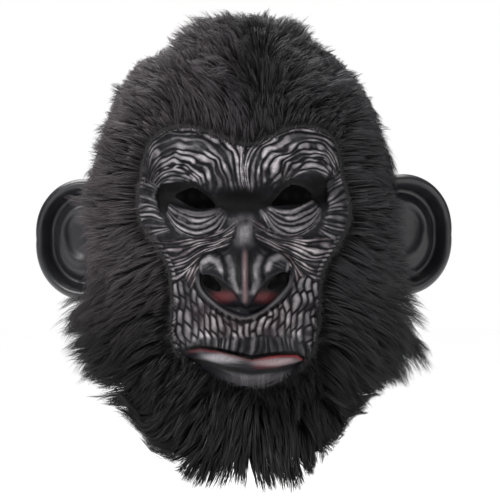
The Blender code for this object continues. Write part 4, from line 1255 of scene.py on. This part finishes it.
def strand_colours(roots, tone, chance):
    """Root and tip colours of each strand, with painted light: lighter and warmer on the left, darker and cooler on the
    right, darker low down and where the pile is parted on the crown.
    """
    count = len(roots)
    root_dark, lit_left_tip = np.array(linear("#141213")[:3]), np.array(linear("#443E41")[:3])
    shaded_right_tip = np.array(linear("#333336")[:3])
    # Painted light: the left, towards the key lamp, is lighter and warmer, and the right darker and cooler.
    side = smoothstep(-0.04, 0.04, roots[:, 0])[:, None]
    # Painted shade: tips and roots darken towards the bottom.
    low = smoothstep(-0.13, -0.22, roots[:, 2])[:, None]
    # Painted shade where the pile is parted on the crown.
    parting_shade = np.exp(-(((roots[:, 0] - 0.013) / 0.015) ** 2)) * smoothstep(-0.07, -0.03, roots[:, 2])
    tip = (lit_left_tip * (1 - side) + shaded_right_tip * side) * (1 - (0.94 - 0.39 * side) * low) * (1 - 0.82 * parting_shade[:, None])
    tip *= 1 - 0.25 * side
    level = np.clip(1 + 0.20 * tone + 0.15 * chance.normal(size=count), 0.35, 2.0)[:, None]
    stray = (chance.random(count) < 0.006)[:, None] * 2.2 + 1
    share = np.linspace(0, 1, STRAND_POINTS)[None, :, None] ** 0.8
    return (root_dark * (1 - 0.6 * low))[:, None] * (1 - share) + (tip * level * stray)[:, None] * share


def make_strands(name, paths, colours, normals, material, chance):
    """Flat tapering strands along paths, each of three quads and a tip."""
    count = len(paths)
    along_path = unit(np.gradient(paths, axis=1))
    across = unit(np.cross(along_path, normals[:, None] + 0.5 * chance.normal(size=(count, 1, 3))))
    width = chance.uniform(0.00013, 0.00030, (count, 1, 1))
    width *= 1 + 0.9 * smoothstep(-0.292, -0.308, paths[:, -1, 2])[:, None, None]
    taper = np.array([1.0, 1.0, 0.85, 0.55, 0.0])[None, :, None]
    left, right = paths - across * width * taper, paths + across * width * taper
    points = np.concatenate([left, right[:, :-1]], axis=1)
    shades = np.concatenate([colours, colours[:, :-1]], axis=1)
    per_strand = 2 * STRAND_POINTS - 1
    base = (np.arange(count) * per_strand)[:, None, None]
    triangles = []
    for step in range(STRAND_POINTS - 2):
        low, high = step, step + 1
        triangles += [[low, high, STRAND_POINTS + high], [low, STRAND_POINTS + high, STRAND_POINTS + low]]
    triangles.append([STRAND_POINTS - 2, STRAND_POINTS - 1, per_strand - 1])
    faces = (base + np.array(triangles)[None]).reshape(-1, 3)
    piece = mesh_piece(name, points.reshape(-1, 3), faces, material, shades.reshape(-1, 3), layer="tint")
    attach(piece, "root")
    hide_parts("fur")


def make_ground(surface, face_tree, material):
    """The fur fabric's own surface, a dark shell just off the hood."""
    merged, corners, _, corner_normals = surface
    lifted = merged + corner_normals * 0.0021
    used, index = np.unique(corners, return_inverse=True)
    points, faces = lifted[used], index.reshape(corners.shape)
    gaps = np.array([face_tree.find_nearest(Vector(point))[3] for point in merged[used]])
    kept = (gaps[faces] > 0.0012).any(axis=1)
    ground = mesh_piece("fur_ground", points, faces[kept], material)
    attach(ground, "root")
    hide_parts("fur")


# The stitches along the face's edge


def make_stitches(material):
    """A running stitch just outside the latex edge, 4.4 mm a step."""
    outline = []
    for name, reverse in (("top", False), ("right", False), ("bottom", True), ("left", True)):
        points = FACE_EDGE[name][::-1] if reverse else FACE_EDGE[name]
        outline += [face_place(*along(points, share)) for share in np.linspace(0, 1, 80, endpoint=False)]
    outline = np.array(outline)
    closed = np.concatenate([outline, outline[:1]])
    travelled = np.concatenate([[0], np.cumsum(np.linalg.norm(np.diff(closed, axis=0), axis=1))])
    count = int(travelled[-1] / 0.0044)
    sides = 6
    rings = np.array([0.0, 0.15, 0.5, 0.85, 1.0])
    bulk = np.array([0.35, 0.9, 1.0, 0.9, 0.35])
    points, faces = [], []
    for stitch in range(count):
        ends = (stitch * 0.0044 + np.array([0.0, 0.0029])) / 1.0
        xs, zs = (np.interp(ends, travelled, closed[:, axis]) for axis in (0, 1))
        way = np.array([xs[1] - xs[0], 0, zs[1] - zs[0]])
        way /= np.linalg.norm(way)
        side_way = np.array([-way[2], 0, way[0]])
        start = len(points)
        for share, size in zip(rings, bulk):
            x, z = xs[0] + (xs[1] - xs[0]) * share, zs[0] + (zs[1] - zs[0]) * share
            inward = -side_way * 0.0016
            y = hood_front(np.array([x]), np.array([z]))[0] - 0.0036 - 0.0004 * size
            middle = np.array([x, y, z]) + inward
            for corner in range(sides):
                angle = 2 * math.pi * corner / sides
                offset = side_way * math.cos(angle) + np.array([0, -1, 0]) * math.sin(angle)
                points.append(middle + offset * 0.00042 * size)
        for ring in range(len(rings) - 1):
            for corner in range(sides):
                low = start + ring * sides
                after = (corner + 1) % sides
                faces.append([low + corner, low + after, low + sides + after, low + sides + corner])
    stitches = mesh_piece("edge_stitches", np.array(points), np.array(faces), material)
    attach(stitches, "root")


# Stage, lights and camera


def make_stage(material):
    bpy.ops.mesh.primitive_plane_add(size=14, location=(0, 0, -0.42))
    floor = bpy.context.object
    floor.name = "floor"
    floor.data.materials.append(material)


def add_light(name, place, target, size, power, colour="#FFFFFF"):
    data = bpy.data.lights.new(name, "AREA")
    data.shape = "DISK"
    data.size = size
    data.energy = power
    data.color = linear(colour)[:3]
    lamp = bpy.data.objects.new(name, data)
    bpy.context.scene.collection.objects.link(lamp)
    lamp.location = place
    lamp.rotation_euler = (Vector(target) - Vector(place)).to_track_quat("-Z", "Y").to_euler()


def make_lights():
    middle = (0.0, -0.05, -0.14)
    add_light("key_softbox", (-0.85, -1.15, 0.85), middle, 0.45, 27)
    add_light("fill_softbox", (1.20, -1.15, 0.30), middle, 0.60, 8)
    add_light("top_softbox", (0.0, 0.10, 1.30), middle, 0.7, 12)
    sky = bpy.data.lights.new("overhead", "SUN")
    sky.energy = 3.2
    sky.angle = math.radians(40)
    overhead = bpy.data.objects.new("overhead", sky)
    bpy.context.scene.collection.objects.link(overhead)
    overhead.rotation_euler = (math.radians(-28), math.radians(-12), 0)
    world = bpy.data.worlds.new("studio")
    world.use_nodes = True
    tree = world.node_tree
    room = tree.nodes["Background"]
    room.inputs["Color"].default_value = (1.0, 1.0, 1.0, 1.0)
    room.inputs["Strength"].default_value = 0.17
    backdrop = add_node(tree, "ShaderNodeBackground", {"Color": (1.0, 1.0, 1.0, 1.0), "Strength": 1.0})
    seen = add_node(tree, "ShaderNodeLightPath").outputs["Is Camera Ray"]
    both = add_node(
        tree, "ShaderNodeMixShader", {0: seen, 1: room.outputs["Background"], 2: backdrop.outputs["Background"]}
    )
    tree.links.new(both.outputs["Shader"], tree.nodes["World Output"].inputs["Surface"])
    bpy.context.scene.world = world


def make_camera():
    data = bpy.data.cameras.new("camera")
    data.lens = CAMERA_LENS
    data.sensor_width = CAMERA_SENSOR
    camera = bpy.data.objects.new("camera", data)
    bpy.context.scene.collection.objects.link(camera)
    camera.location = CAMERA_PLACE
    camera.rotation_euler = (math.radians(90), 0, 0)
    bpy.context.scene.camera = camera


def main():
    bpy.context.scene.view_settings.view_transform = "Standard"
    make_camera()
    make_lights()
    make_stage(paper_sweep())
    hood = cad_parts["hood"]
    hood.data.materials.clear()
    hood.data.materials.append(knit_backing())
    make_face(latex_painted_moulded())
    make_ears(latex_black_moulded())
    make_stitches(thread_waxed())
    make_fur(faux_fur_pile(), faux_fur_ground())


main()
